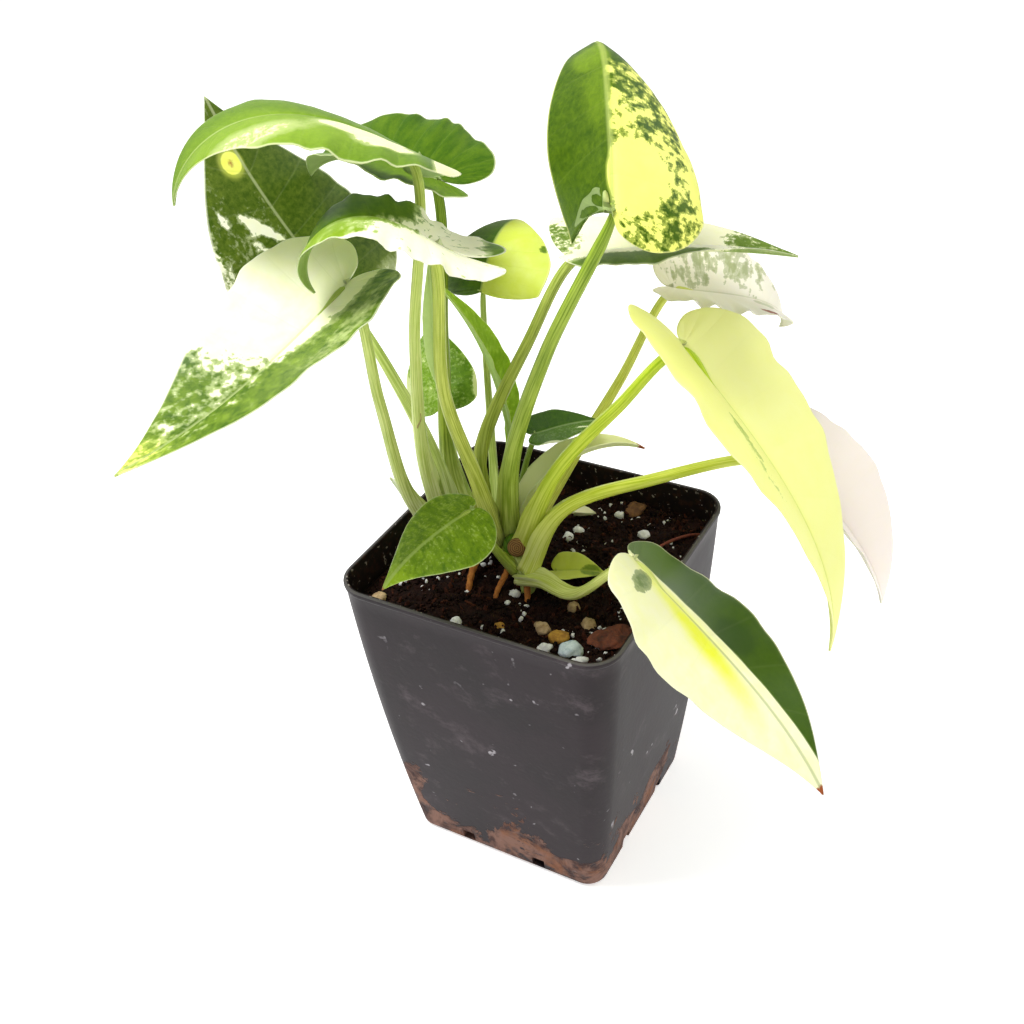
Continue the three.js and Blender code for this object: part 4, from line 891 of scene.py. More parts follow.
def pot_blank():
    """The pot's wall and floor before its foot is cut, from the outer foot over the rim and down"""
    band = POT_HEIGHT - RIM_BAND
    inner = RIM_BEAD + WALL
    profile = [(0, RIM_BEAD + 1.4), (0.5, RIM_BEAD + 0.5), (1.4, RIM_BEAD)]
    profile += [(z, RIM_BEAD) for z in (*np.linspace(4, WALL_STEPS_END, 28), band - 0.3)]
    profile += [(band, RIM_BEAD * 0.8), (band + 0.35, RIM_BEAD * 0.25), (band + 0.8, 0)]
    profile += [(POT_HEIGHT - 0.5, 0), (POT_HEIGHT - 0.12, 0.15), (POT_HEIGHT, 0.5)]
    profile += [(POT_HEIGHT, inner - 0.5), (POT_HEIGHT - 0.12, inner - 0.12), (POT_HEIGHT - 0.6, inner)]
    profile += [(z, inner) for z in np.linspace(WALL_STEPS_END, FLOOR_TOP, 14)]
    return lofted([wall_ring(z, inset) for z, inset in profile])


def foot_cutters():
    """What is cut from the foot: a low arch through it each way, and a drain slot at each arch's end"""
    arch = [(-FOOT_GAP, -2), (-FOOT_GAP, 0.9), (-FOOT_GAP + 0.5, 1.8), (-FOOT_GAP + 1.8, FOOT_HEIGHT)]
    arch += [(-x, z) for x, z in reversed(arch)]
    span = 1.2 * BASE_HALF
    along_y = [np.array([(-x, end, z) for x, z in arch]) for end in (-span, span)]
    along_x = [np.array([(end, x, z) for x, z in reversed(arch)]) for end in (-span, span)]
    cutters = [lofted(along_y), lofted(along_x)]
    deep, wide, wall = 2.5, SLOT_WIDTH / 2, BASE_HALF - 1
    for side in (-wall, wall):
        for end in (-1, 1):
            offset = end * (FOOT_GAP - SLOT_WIDTH / 2)
            for size, place in (((deep, wide, 1), (side, offset, 0)), ((wide, deep, 1), (offset, side, 0))):
                cutters.append(lofted([square_ring(1, 0.35, z, 5, 2) * size + place
                                       for z in (FOOT_HEIGHT - 1, SLOT_TOP)]))
    return cutters


def foot_pad():
    """The round pad in the middle of the foot"""
    turns = np.linspace(0, 2 * np.pi, 48, False)
    return lofted([np.array([(r * math.cos(a), r * math.sin(a), z) for a in turns]) for r, z in (
        (PAD_RADIUS - 0.4, 0), (PAD_RADIUS, 0.4), (PAD_RADIUS, FOOT_HEIGHT + 0.4))])


def make_pot(material):
    pot = plain_object("pot_blank", pot_blank())
    cutters = foot_cutters()
    tools = [plain_object(f"pot_cutter_{i}", body) for i, body in enumerate([*cutters, foot_pad()])]
    for i, tool in enumerate(tools):
        cut = pot.modifiers.new("cut", "BOOLEAN")
        cut.object, cut.solver = tool, "EXACT"
        cut.operation = "UNION" if i == len(cutters) else "DIFFERENCE"
    made = evaluated(pot, "pot_shell")
    for tool in tools:
        bpy.data.objects.remove(tool)
    made.data.materials.clear()
    made.data.materials.append(material)
    made.data.shade_smooth()
    made.data.set_sharp_from_angle(angle=math.radians(SHARP_ANGLE))
    declare(made, "pot")


# The mix's surface: low humps, with crumbs on them
def mix_height(x, y):
    humps = (np.sin(x / 4.3 + 1) * np.cos(y / 5.1) + 0.6 * np.sin((x + 1.7 * y) / 3.1)
             + 0.5 * np.cos((x - y) / 2.3))
    return MIX_TOP + MIX_RELIEF * humps / 2


def crumble(x, y):
    p = Vector((x, y, 0))
    lumps, crumbs, swells = (noise.noise(p / size) for size in (2.6, 1.1, 7.0))
    return 0.9 * (lumps + 0.1) + 0.55 * crumbs + 0.8 * swells


def make_mix(material):
    inset = RIM_BEAD + WALL + CLEAR
    rings = [wall_ring(z, inset) for z in (FLOOR_TOP + CLEAR, 30, 60, 90, MIX_TOP - 3, MIX_TOP - 1)]
    edge = wall_ring(MIX_TOP, inset)
    steps = 70
    for k in range(steps, 0, -1):
        ring = edge * [k / steps, k / steps, 1]
        rise = np.array([crumble(x, y) for x, y, _ in ring]) * (1 if k < steps else 0.3)
        ring[:, 2] = mix_height(ring[:, 0], ring[:, 1]) + rise - (0.6 if k == steps else 0)
        rings.append(ring)
    add_piece("mix_bed", lofted(rings), material, "potting_mix")


# A unit ball's points and faces, made once for each fineness
BALLS = {}


def unit_ball(levels):
    if levels not in BALLS:
        ball = bmesh.new()
        bmesh.ops.create_icosphere(ball, subdivisions=levels, radius=1)
        BALLS[levels] = ([v.co.copy() for v in ball.verts],
                         [[v.index for v in f.verts] for f in ball.faces])
        ball.free()
    return BALLS[levels]


# A grain: a ball roughened by noise, stretched, turned and set in its place
def grain_body(place, size, rough, seed, turn, levels=3, fine=2.2):
    ball, faces = unit_ball(levels)
    coarse_place, fine_place = Vector((seed, 3.1 * seed, 0)), Vector((0, seed, seed))
    vertices = []
    for v in ball:
        rise = noise.noise(v * fine / 2 + coarse_place) + 0.45 * noise.noise(v * fine * 1.7 + fine_place)
        v = v * (1 + rough * rise)
        vertices.append((v.x * size[0], v.y * size[1], v.z * size[2]))
    vertices = np.array(vertices) @ np.array(Matrix.Rotation(math.radians(turn), 3, "Z")).T
    return vertices + place, faces


def combined(bodies):
    """Several bodies as one mesh, with their fields"""
    vertices, faces, fields, first = [], [], {}, 0
    for body in bodies:
        vertices.append(np.asarray(body[0], float))
        faces += [[k + first for k in f] for f in body[1]]
        first += len(body[0])
        for key, values in (body[2] if len(body) > 2 else {}).items():
            fields.setdefault(key, []).append(values)
    return np.concatenate(vertices), faces, {key: np.concatenate(v) for key, v in fields.items()}


# Node helpers: a value in inputs is either a socket to link or a plain setting
def filled(tree, made, inputs):
    for key, value in (inputs or {}).items():
        if isinstance(value, bpy.types.NodeSocket):
            tree.links.new(value, made.inputs[key])
        else:
            made.inputs[key].default_value = value
    return made


def node(tree, kind, inputs=None, **settings):
    made = tree.nodes.new(kind if "Node" in kind else "ShaderNode" + kind)
    for key, value in settings.items():
        setattr(made, key, value)
    return filled(tree, made, inputs)


def placed(tree, group, inputs):
    made = tree.nodes.new("ShaderNodeGroup")
    made.node_tree = group
    return filled(tree, made, inputs).outputs


def maths(tree, operation, a, b=0.0, c=0.0, clamp=False):
    return node(tree, "Math", {0: a, 1: b, 2: c}, operation=operation, use_clamp=clamp).outputs[0]


def minus(tree, a, b):
    return maths(tree, "SUBTRACT", a, b)


def times(tree, a, b):
    return maths(tree, "MULTIPLY", a, b)


def times_plus(tree, a, b, c, clamp=False):
    return maths(tree, "MULTIPLY_ADD", a, b, c, clamp)


def between(tree, a, b, share):
    return times_plus(tree, minus(tree, b, a), share, a)


def varied(tree, value, pattern, amount, clamp=True):
    """A value raised and lowered by a pattern whose middle is a half"""
    return times_plus(tree, minus(tree, pattern, 0.5), amount, value, clamp)


def blend(tree, share, a, b, how="MIX"):
    return node(tree, "Mix", {0: share, 6: a, 7: b}, data_type="RGBA", blend_type=how).outputs[2]


def step(tree, value, low, high, bottom=0.0, top=1.0):
    inputs = {"Value": value, "From Min": low, "From Max": high, "To Min": bottom, "To Max": top}
    return node(tree, "MapRange", inputs, interpolation_type="SMOOTHSTEP").outputs[0]


def stretched(tree, vector, scale):
    return node(tree, "VectorMath", {0: vector, 1: scale}, operation="MULTIPLY").outputs[0]


def enlarged(tree, vector, amount):
    return node(tree, "VectorMath", {0: vector, "Scale": amount}, operation="SCALE").outputs[0]


def distance(tree, vector, place):
    return node(tree, "VectorMath", {0: vector, 1: place}, operation="DISTANCE").outputs["Value"]


def speckle(tree, vector, scale, detail=3.0, roughness=0.5, distortion=0.0):
    inputs = {"Vector": vector, "Scale": scale, "Detail": detail, "Roughness": roughness,
              "Distortion": distortion}
    return node(tree, "TexNoise", inputs).outputs["Fac"]


def attribute(tree, name):
    return node(tree, "Attribute", attribute_name=name).outputs["Vector"]


def object_place(tree):
    return node(tree, "TexCoord").outputs["Object"]


def split(tree, vector):
    return node(tree, "SeparateXYZ", {0: vector}).outputs


def linear(colour):
    """A six-digit sRGB colour as the linear colour that nodes take"""
    parts = [int(colour[i:i + 2], 16) / 255 for i in (0, 2, 4)]
    return (*(c / 12.92 if c <= 0.04045 else ((c + 0.055) / 1.055) ** 2.4 for c in parts), 1.0)


def new_group(name, inputs, outputs):
    tree = bpy.data.node_groups.new(name, "ShaderNodeTree")
    kinds = {"colour": "NodeSocketColor", "value": "NodeSocketFloat", "vector": "NodeSocketVector"}
    for key, kind in inputs:
        tree.interface.new_socket(key, in_out="INPUT", socket_type=kinds[kind])
    for key, kind in outputs:
        tree.interface.new_socket(key, in_out="OUTPUT", socket_type=kinds[kind])
    return tree, tree.nodes.new("NodeGroupInput").outputs, tree.nodes.new("NodeGroupOutput")


def finish_group(tree, output, values):
    for key, socket in values.items():
        tree.links.new(socket, output.inputs[key])
    return tree


def new_material(name, **constants):
    """A material with its Principled shader, whose plain values are set on it here"""
    material = bpy.data.materials.new(name)
    material.use_nodes = True
    tree = material.node_tree
    shader = tree.nodes["Principled BSDF"]
    for key, value in constants.items():
        shader.inputs[key.replace("_", " ")].default_value = value
    return material, tree, shader


def dressed(tree, shader, colour, roughness, height, strength, depth):
    """Links what changes over a surface to its shader: colour, roughness and a relief of a depth"""
    tree.links.new(colour, shader.inputs["Base Color"])
    tree.links.new(roughness, shader.inputs["Roughness"])
    bump = node(tree, "Bump", {"Height": height, "Strength": strength, "Distance": depth})
    tree.links.new(bump.outputs[0], shader.inputs["Normal"])


# Variegation: sectors, streaks along the veins and specks of pale tissue in green
def variegation_group():
    tree, given, output = new_group("variegation", (
        ("Leaf map", "vector"), ("Vein map", "vector"), ("Tint", "vector"), ("Tone", "vector"),
        ("Deep green", "colour"), ("Light green", "colour"), ("Cream", "colour"),
        ("Yellow", "colour"), ("Under side", "colour"), ("Dry", "colour"),
        ("Green mottle", "value"), ("Speck size", "value"), ("Speck share", "value"),
        ("Streaks", "value"), ("Rib width", "value"), ("Vein show", "value"),
    ), (("Colour", "colour"), ("Height", "value"), ("Roughness", "value")))
    pale, mottle, yellow = split(tree, given["Tint"])
    shade, dry, _ = split(tree, given["Tone"])
    _, y, seed = split(tree, given["Leaf map"])
    a, t, under = split(tree, given["Vein map"])
    streaks = given["Streaks"]
    along_veins = {0: times(tree, a, 42.0), 1: times(tree, t, 3.0), 2: seed}
    streak = speckle(tree, node(tree, "CombineXYZ", along_veins).outputs[0], 1.0, 3.0, 0.55)
    blotch = speckle(tree, given["Leaf map"], 0.16, 4.0, 0.62, 0.3)
    fineness = maths(tree, "DIVIDE", 1.0, given["Speck size"])
    specks = speckle(tree, given["Leaf map"], fineness, 3.0, 0.6)
    mixed = between(tree, blotch, streak, streaks)
    mixed = between(tree, mixed, specks, given["Speck share"])
    centred = times(tree, minus(tree, mixed, 0.5), 5.0)
    field = times_plus(tree, centred, mottle, pale)
    halo = step(tree, field, 0.12, 0.46)
    solid = step(tree, field, 0.47, 0.56)
    # Greens of two depths that break up in the same way, with fine cells
    second = speckle(tree, given["Leaf map"], 0.55, 4.0, 0.65, 0.5)
    second = between(tree, second, streak, streaks)
    second = times(tree, minus(tree, second, 0.5), 4.0)
    depth = times_plus(tree, second, given["Green mottle"], shade, clamp=True)
    cells = speckle(tree, given["Leaf map"], 4.2, 2.0, 0.6)
    depth = varied(tree, depth, cells, 0.35)
    green = blend(tree, depth, given["Deep green"], given["Light green"])
    warm = varied(tree, yellow, blotch, 0.5)
    light = blend(tree, warm, given["Cream"], given["Yellow"])
    fringe = blend(tree, 0.4, given["Light green"], light)
    colour = blend(tree, times(tree, halo, 0.7), green, fringe)
    colour = blend(tree, solid, colour, light)
    # Midrib, side veins and the thin pale margin
    away = maths(tree, "ABSOLUTE", y)
    width = given["Rib width"]
    rib = step(tree, away, times(tree, width, 1.25), times(tree, width, 0.4))
    wave = maths(tree, "ABSOLUTE", maths(tree, "SINE", times(tree, a, math.pi * VEINS)))
    vein = step(tree, wave, 0.14, 0.0)
    shown = times(tree, given["Vein show"], step(tree, away, 0.0, 3.0, 1.0, 0.55))
    vein = times(tree, vein, shown)
    lines = maths(tree, "MAXIMUM", times(tree, rib, 0.6), times(tree, vein, 0.14))
    colour = blend(tree, lines, colour, blend(tree, 0.3, given["Light green"], given["Cream"]))
    edge = step(tree, maths(tree, "ABSOLUTE", t), 0.965, 0.995)
    colour = blend(tree, times(tree, edge, 0.55), colour, given["Cream"])
    # The under side is duller, and dry spots are brown
    dull = blend(tree, 0.55, colour, given["Under side"])
    dulled = times(tree, under, step(tree, solid, 0.0, 1.0, 1.0, 0.25))
    colour = blend(tree, dulled, colour, dull)
    burnt = varied(tree, dry, specks, 0.8, clamp=False)
    spot = times(tree, step(tree, burnt, 0.35, 0.75), step(tree, dry, 0.02, 0.2))
    colour = blend(tree, spot, colour, given["Dry"])
    height = times(tree, cells, 0.35)
    height = times_plus(tree, vein, -0.8, height)
    height = times_plus(tree, streak, 0.3, height)
    rough = times_plus(tree, cells, 0.16, step(tree, under, 0.0, 1.0, 0.3, 0.46))
    return finish_group(tree, output, {"Colour": colour, "Height": height, "Roughness": rough})


# Petiole tissue: fibres run along it, and its colour changes from the foot to the top
def fibre_group():
    tree, given, output = new_group("fibres", (
        ("Stalk map", "vector"), ("Stalk place", "vector"), ("Foot", "colour"), ("Middle", "colour"),
        ("Top", "colour"), ("Shadow", "colour"), ("Light", "colour"), ("Lines", "value"),
    ), (("Colour", "colour"), ("Height", "value"), ("Roughness", "value")))
    down, _, _ = split(tree, given["Stalk place"])
    fibres = speckle(tree, stretched(tree, given["Stalk map"], (0.05, 5.5, 1.0)), 1.0, 3.0, 0.6)
    patches = speckle(tree, given["Stalk map"], 0.09, 3.0, 0.6)
    colour = blend(tree, step(tree, down, 0.0, 0.3), given["Foot"], given["Middle"])
    colour = blend(tree, step(tree, down, 0.45, 1.0), colour, given["Top"])
    tone = times_plus(tree, step(tree, fibres, 0.36, 0.62, -0.5, 0.5), given["Lines"], 0.5)
    tone = varied(tree, tone, patches, 0.7)
    colour = blend(tree, 0.85, colour, blend(tree, tone, given["Shadow"], given["Light"]), "SOFT_LIGHT")
    return finish_group(tree, output, {
        "Colour": colour, "Height": fibres, "Roughness": step(tree, patches, 0.2, 0.8, 0.3, 0.42)})


# Earthy matter: two tones in clods and a fine grain
def earthy_group():
    tree, given, output = new_group("earthy", (
        ("Place", "vector"), ("Dark", "colour"), ("Light", "colour"), ("Size", "value"),
        ("Spread", "value"),
    ), (("Colour", "colour"), ("Height", "value"), ("Roughness", "value")))
    scale = maths(tree, "DIVIDE", 1 / MM, given["Size"])
    clods = speckle(tree, given["Place"], scale, 6.0, 0.7, 0.4)
    grain = speckle(tree, given["Place"], times(tree, scale, 5.0), 3.0, 0.7)
    tone = varied(tree, given["Spread"], clods, 2.6)
    tone = varied(tree, tone, grain, 0.7)
    return finish_group(tree, output, {
        "Colour": blend(tree, tone, given["Dark"], given["Light"]),
        "Height": times_plus(tree, grain, 0.4, clods),
        "Roughness": step(tree, grain, 0.3, 0.7, 0.75, 0.98)})


GROUPS = {"variegation": variegation_group(), "fibres": fibre_group(), "earthy": earthy_group()}


def leaf_material(name, leaf):
    material, tree, shader = new_material(
        name, Subsurface_Weight=0.2, Subsurface_Scale=MM, Subsurface_Radius=(0.9, 1.1, 0.5),
        IOR=1.42, Specular_IOR_Level=0.2)
    deep, light, cream, yellow = (linear(c) for c in leaf["colours"])
    out = placed(tree, GROUPS["variegation"], {
        "Leaf map": attribute(tree, "leaf_map"), "Vein map": attribute(tree, "vein_map"),
        "Tint": attribute(tree, "tint"), "Tone": attribute(tree, "tone"),
        "Deep green": deep, "Light green": light, "Cream": cream, "Yellow": yellow,
        "Under side": linear(UNDER_SIDE), "Dry": linear(DRY_SPOT),
        "Green mottle": leaf.get("green_mottle", 0.25), "Speck size": leaf.get("speck", 1.6),
        "Speck share": leaf.get("speck_share", 0.5), "Streaks": leaf.get("streaks", 0.4),
        "Rib width": leaf.get("rib_width", 0.55), "Vein show": leaf.get("vein_show", 0.5)})
    dressed(tree, shader, out["Colour"], out["Roughness"], out["Height"], 0.35, 0.4 * MM)
    return material


def fibre_material(name, foot, middle, top, lines=0.9):
    material, tree, shader = new_material(
        name, Subsurface_Weight=0.15, Subsurface_Scale=MM, Subsurface_Radius=(0.8, 1.0, 0.4),
        IOR=1.42, Specular_IOR_Level=0.25)
    out = placed(tree, GROUPS["fibres"], {
        "Stalk map": attribute(tree, "stalk_map"), "Stalk place": attribute(tree, "stalk_place"),
        "Foot": linear(foot), "Middle": linear(middle), "Top": linear(top),
        "Shadow": linear(FIBRE_SHADOW), "Light": linear(FIBRE_LIGHT), "Lines": lines})
    dressed(tree, shader, out["Colour"], out["Roughness"], out["Height"], 0.5, 0.4 * MM)
    return material


def earthy_material(name, dark, light, size, spread=0.5, strength=0.7, depth=0.6, **constants):
    """Clods of a size and a relief of a depth in millimetres, in two tones"""
    material, tree, shader = new_material(name, **constants)
    out = placed(tree, GROUPS["earthy"], {"Place": object_place(tree), "Dark": linear(dark),
                                          "Light": linear(light), "Size": size, "Spread": spread})
    dressed(tree, shader, out["Colour"], out["Roughness"], out["Height"], strength, depth * MM)
    return material


# Pot plastic: matte black, dusty, with a lighter grey line along the top of its rim and earth dried on near
# its foot
def plastic_colour(tree, place, z, cloudy):
    base = blend(tree, step(tree, cloudy, 0.3, 0.7), linear("1f181b"), linear("2c2327"))
    smears = speckle(tree, stretched(tree, place, (1.0, 1.0, 1.3)), 52.0, 6.0, 0.7, 0.15)
    near = step(tree, distance(tree, place, DUSTY_SPOT), DUST_REACH, DUST_CORE)
    dusty = times_plus(tree, near, 0.07, smears)
    base = blend(tree, step(tree, dusty, 0.54, 0.8, 0.0, 0.55), base, linear("665a5e"))
    scuffs = speckle(tree, place, 170.0, 2.0, 0.5, 0.2)
    spots = times(tree, step(tree, scuffs, 0.70, 0.73), step(tree, smears, 0.44, 0.6))
    base = blend(tree, times(tree, spots, 0.7), base, linear("b9b4b8"))
    # A lighter grey line along the top edge of the rim
    rim_line = step(tree, z, (POT_HEIGHT - 0.5) * MM, (POT_HEIGHT - 0.05) * MM)
    return blend(tree, times(tree, rim_line, 0.35), base, linear("7d7b78"))


def dried_earth(tree, place, x, z):
    """Where dried earth lies, up to an uneven line above the foot, its colour and its lumps"""
    climb = speckle(tree, place, 42.0, 6.0, 0.68, 0.6)
    level = varied(tree, EARTH_LINE, climb, EARTH_RAGGED, clamp=False)
    level = times_plus(tree, x, EARTH_SLOPE, level)
    crust = step(tree, minus(tree, level, z), *EARTH_EDGE)
    crust = times(tree, crust, step(tree, speckle(tree, place, 190.0, 3.0, 0.6), 0.32, 0.5, 0.35, 1.0))
    lumps = speckle(tree, place, 95.0, 4.0, 0.7, 0.8)
    earth = blend(tree, step(tree, lumps, 0.36, 0.62), linear("4a3632"), linear("8a685a"))
    rust = step(tree, speckle(tree, place, 60.0, 4.0, 0.7, 0.6), 0.52, 0.66, 0.0, 0.55)
    return crust, blend(tree, rust, earth, linear("96603e")), lumps


def shaded_inner_wall(tree, x, y, z):
    """Where the inner wall shows, which is within a rounded square above the mix and is painted darker as
    shade
    """
    half = times_plus(tree, minus(tree, z, INNER_AT), INNER_SLOPE, INNER_HALF - RIM_CORNER * MM)
    over = [maths(tree, "MAXIMUM", minus(tree, maths(tree, "ABSOLUTE", v), half), 0.0) for v in (x, y)]
    squares = times_plus(tree, over[0], over[0], times(tree, over[1], over[1]))
    inside = step(tree, maths(tree, "SQRT", squares), (RIM_CORNER - 1.0) * MM, (RIM_CORNER - 1.2) * MM)
    return times(tree, inside, step(tree, z, *INNER_SHOWS))


def pot_material():
    material, tree, shader = new_material("pot_plastic", IOR=1.46, Specular_IOR_Level=0.2)
    place = object_place(tree)
    x, y, z = split(tree, place)
    cloudy = speckle(tree, place, 28.0, 5.0, 0.62, 0.4)
    fine = speckle(tree, place, 420.0, 3.0, 0.6)
    base = plastic_colour(tree, place, z, cloudy)
    crust, earth, lumps = dried_earth(tree, place, x, z)
    colour = blend(tree, times(tree, crust, 0.88), base, earth)
    # The inner wall is painted darker as painted shade inside the pot, with specks of mix and dust on it
    dust = speckle(tree, place, 520.0, 2.0, 0.5)
    wall = blend(tree, step(tree, dust, 0.62, 0.7), linear("181110"), linear("9a918a"))
    wall = blend(tree, step(tree, fine, 0.5, 0.62), wall, linear("2c1a14"))
    colour = blend(tree, shaded_inner_wall(tree, x, y, z), colour, wall)
    rough = times_plus(tree, cloudy, 0.18, step(tree, crust, 0.0, 1.0, 0.4, 0.72))
    height = times_plus(tree, crust, 1.6, times(tree, fine, 0.22))
    height = times_plus(tree, lumps, times(tree, crust, 1.2), height)
    dressed(tree, shader, colour, rough, height, 0.5, 0.6 * MM)
    return material


# The cut stub: fine wavy rings around its end
def stub_material():
    material, tree, shader = new_material("stub_bark", Specular_IOR_Level=0.2)
    place = object_place(tree)
    from_end = distance(tree, place, [c * MM for c in STUB_ROUTE[-1]])
    waver = speckle(tree, place, 520.0, 2.0, 0.5)
    turns = times_plus(tree, waver, 7.0, times(tree, from_end, STUB_RINGS / MM))
    ring = times_plus(tree, maths(tree, "SINE", turns), 0.5, 0.5)
    colour = blend(tree, ring, linear("6b4526"), linear("b98d5c"))
    dressed(tree, shader, colour, step(tree, ring, 0.0, 1.0, 0.8, 0.65), ring, 0.5, 0.3 * MM)
    return material


# Geometry Nodes: grains scattered over a surface, each roughened in its own way
def scatter_tree(name, levels):
    tree = bpy.data.node_groups.new(name, "GeometryNodeTree")
    sockets = {}
    for key, kind, default in (
            ("Geometry", "NodeSocketGeometry", None), ("Density", "NodeSocketFloat", 1000.0),
            ("Smallest", "NodeSocketFloat", 0.0005), ("Largest", "NodeSocketFloat", 0.0015),
            ("Shape", "NodeSocketVector", (1, 1, 0.7)), ("Roughness", "NodeSocketFloat", 0.4),
            ("Seed", "NodeSocketInt", 1), ("Material", "NodeSocketMaterial", None)):
        socket = tree.interface.new_socket(key, in_out="INPUT", socket_type=kind)
        if default is not None:
            socket.default_value = default
        sockets[key] = socket.identifier
    tree.interface.new_socket("Geometry", in_out="OUTPUT", socket_type="NodeSocketGeometry")
    given = tree.nodes.new("NodeGroupInput").outputs
    spread = node(tree, "GeometryNodeDistributePointsOnFaces", {
        "Mesh": given["Geometry"], "Density": given["Density"], "Seed": given["Seed"]})
    ball = node(tree, "GeometryNodeMeshIcoSphere", {"Radius": 1.0, "Subdivisions": levels})
    turn = node(tree, "FunctionNodeRandomValue", {"Max": (6.3, 6.3, 6.3), "Seed": given["Seed"]},
                data_type="FLOAT_VECTOR")
    size = node(tree, "FunctionNodeRandomValue", {2: given["Smallest"], 3: given["Largest"],
                                                  "Seed": given["Seed"]}, data_type="FLOAT")
    copies = node(tree, "GeometryNodeInstanceOnPoints", {
        "Points": spread.outputs["Points"], "Instance": ball.outputs["Mesh"],
        "Rotation": turn.outputs[0], "Scale": enlarged(tree, given["Shape"], size.outputs[1])})
    real = node(tree, "GeometryNodeRealizeInstances", {0: copies.outputs[0]})
    rough = node(tree, "TexNoise", {"Scale": 900.0, "Detail": 2.0}).outputs["Color"]
    centred = node(tree, "VectorMath", {0: rough, 1: (0.5, 0.5, 0.5)}, operation="SUBTRACT").outputs[0]
    reach = times(tree, given["Roughness"], given["Largest"])
    moved = node(tree, "GeometryNodeSetPosition", {
        "Geometry": real.outputs[0], "Offset": enlarged(tree, centred, reach)})
    done = node(tree, "GeometryNodeSetMaterial", {0: moved.outputs[0], "Material": given["Material"]})
    tree.links.new(done.outputs[0], tree.nodes.new("NodeGroupOutput").inputs[0])
    return tree, sockets


def scattered(name, ground, tree, material, **values):
    source = linked(name + "_source", ground)
    scatter = source.modifiers.new("scatter", "NODES")
    scatter.node_group, sockets = tree
    for key, value in {**values, "Material": material}.items():
        scatter[sockets[key]] = value
    return declare(evaluated(source, name), "potting_mix")


def surface_patch(name, keep):
    """The mix's surface as a bare mesh for grains to lie on, where keep says so"""
    span = np.arange(-PATCH_REACH, PATCH_REACH + 0.5, PATCH_STEP)
    x, y = np.meshgrid(span, span, indexing="ij")
    z = mix_height(x, y) + 0.2
    count = len(span)
    faces = []
    for i in range(count - 1):
        for j in range(count - 1):
            if keep(x[i, j], y[i, j]):
                k = i * count + j
                faces.append([k, k + count, k + count + 1, k + 1])
    return new_mesh(name, np.stack([x, y, z], -1).reshape(-1, 3), faces)


def within_pot(x, y, gap=0.0):
    inner = wall_half(MIX_TOP) - RIM_BEAD - WALL - 1 - gap
    dx, dy = max(abs(x) - inner + MIX_CORNER, 0), max(abs(y) - inner + MIX_CORNER, 0)
    return math.hypot(dx, dy) < MIX_CORNER


def flecked(x, y):
    return within_pot(x, y, 2) and noise.noise(Vector((x, y, 30)) / 7) > 0.2


# Leaves
for number, (name, leaf) in enumerate(LEAVES.items()):
    leaf["seed"] = number * SEED_STEP
    lines = MANY_LINES if leaf["length"] > SMALL_LEAF else SOME_LINES
    add_piece(name + "_blade", blade_body(leaf, lines), leaf_material(name + "_tissue", leaf), name)
    add_piece(name + "_stalk", stalk_body(leaf),
              fibre_material(name + "_fibres", *leaf["stalk_colours"]), name)

# Crown: the stem, its pale node and cut stub, the roots and the sheath leaves
stem = tube_body(STEM_ROUTE, lambda a, s: STEM_RADIUS * (1 + 0.05 * np.sin(s * 34)), 28, 60)
add_piece("stem", stem, fibre_material("stem_tissue", "5f7a24", "4c6a18", "56761c", 0.6), "crown")
pale_node = tube_body(NODE_ROUTE, lambda a, s: NODE_RADIUS * (1 - 0.4 * s), 28, 30)
add_piece("stem_node", pale_node, fibre_material("node_tissue", "a9b75a", "c3cb86", "9aa560", 0.7),
          "crown")


def stub_radius(a, s):
    return STUB_RADIUS * np.sqrt(1 - np.clip((s - 0.72) / 0.281, 0, 1) ** 2)


add_piece("cut_stub", tube_body(STUB_ROUTE, stub_radius, 32, 30), stub_material(), "crown")


def root_body(root):
    def radius(a, s):
        return root["radius"] * (1 - 0.45 * s) * (1 + 0.08 * np.sin(60 * s))

    return tube_body(root["route"], radius, 14, 40)


add_piece("prop_roots", combined([root_body(root) for root in ROOTS]),
          earthy_material("root_skin", "8a4a1c", "c07a34", 1.6, 0.5, 0.5, 0.3), "crown")
for name, sheath in SHEATHS.items():
    add_piece(name, blade_body(sheath, SHEATH_LINES), leaf_material(name + "_tissue", sheath), "crown")

# A thin wing of the sheath stands along the bent leaf's stalk, and a dry curl on the arching leaf's
add_piece("stalk_wing", blade_body(WING, THIN_LINES), leaf_material("wing_tissue", WING), "leaf_bent")
add_piece("dry_curl", tube_body(CURL, lambda a, s: 0.45 * (1 - 0.8 * s), 10, 30),
          earthy_material("dry_curl_skin", "8a7a48", "c0b070", 1.5, 0.5, 0.5, 0.2), "leaf_arch")

make_pot(pot_material())

# Potting mix, with crumbs and bits of bark all over it and perlite in places
soil = earthy_material("mix_earth", "0b0504", "2e150d", 3.2, 0.4, 0.9, 0.8, Specular_IOR_Level=0.15)
make_mix(soil)
crumb_tree, grain_tree = scatter_tree("crumbs", 1), scatter_tree("grains", 2)
ground = surface_patch("ground", within_pot)
scattered("mix_crumbs", ground, crumb_tree, soil,
          Density=420000.0, Smallest=0.0003, Largest=0.0012, Roughness=1.1, Seed=3)
fibre_bark = earthy_material("bark_bits", "1e0d08", "542a1a", 2.2, 0.45, 0.8, Specular_IOR_Level=0.15)
scattered("bark_bits", ground, crumb_tree, fibre_bark, Density=60000.0,
          Smallest=0.0005, Largest=0.0017, Shape=(1.6, 0.6, 0.4), Roughness=0.8, Seed=11)
perlite = earthy_material("perlite", "c4c4c6", "f4f2f2", 1.0, 0.6, 0.5, 0.3)
scattered("perlite_grains", surface_patch("flecked_ground", flecked), grain_tree, perlite,
          Density=100000.0, Smallest=0.0002, Largest=0.0011, Roughness=0.9, Seed=23)

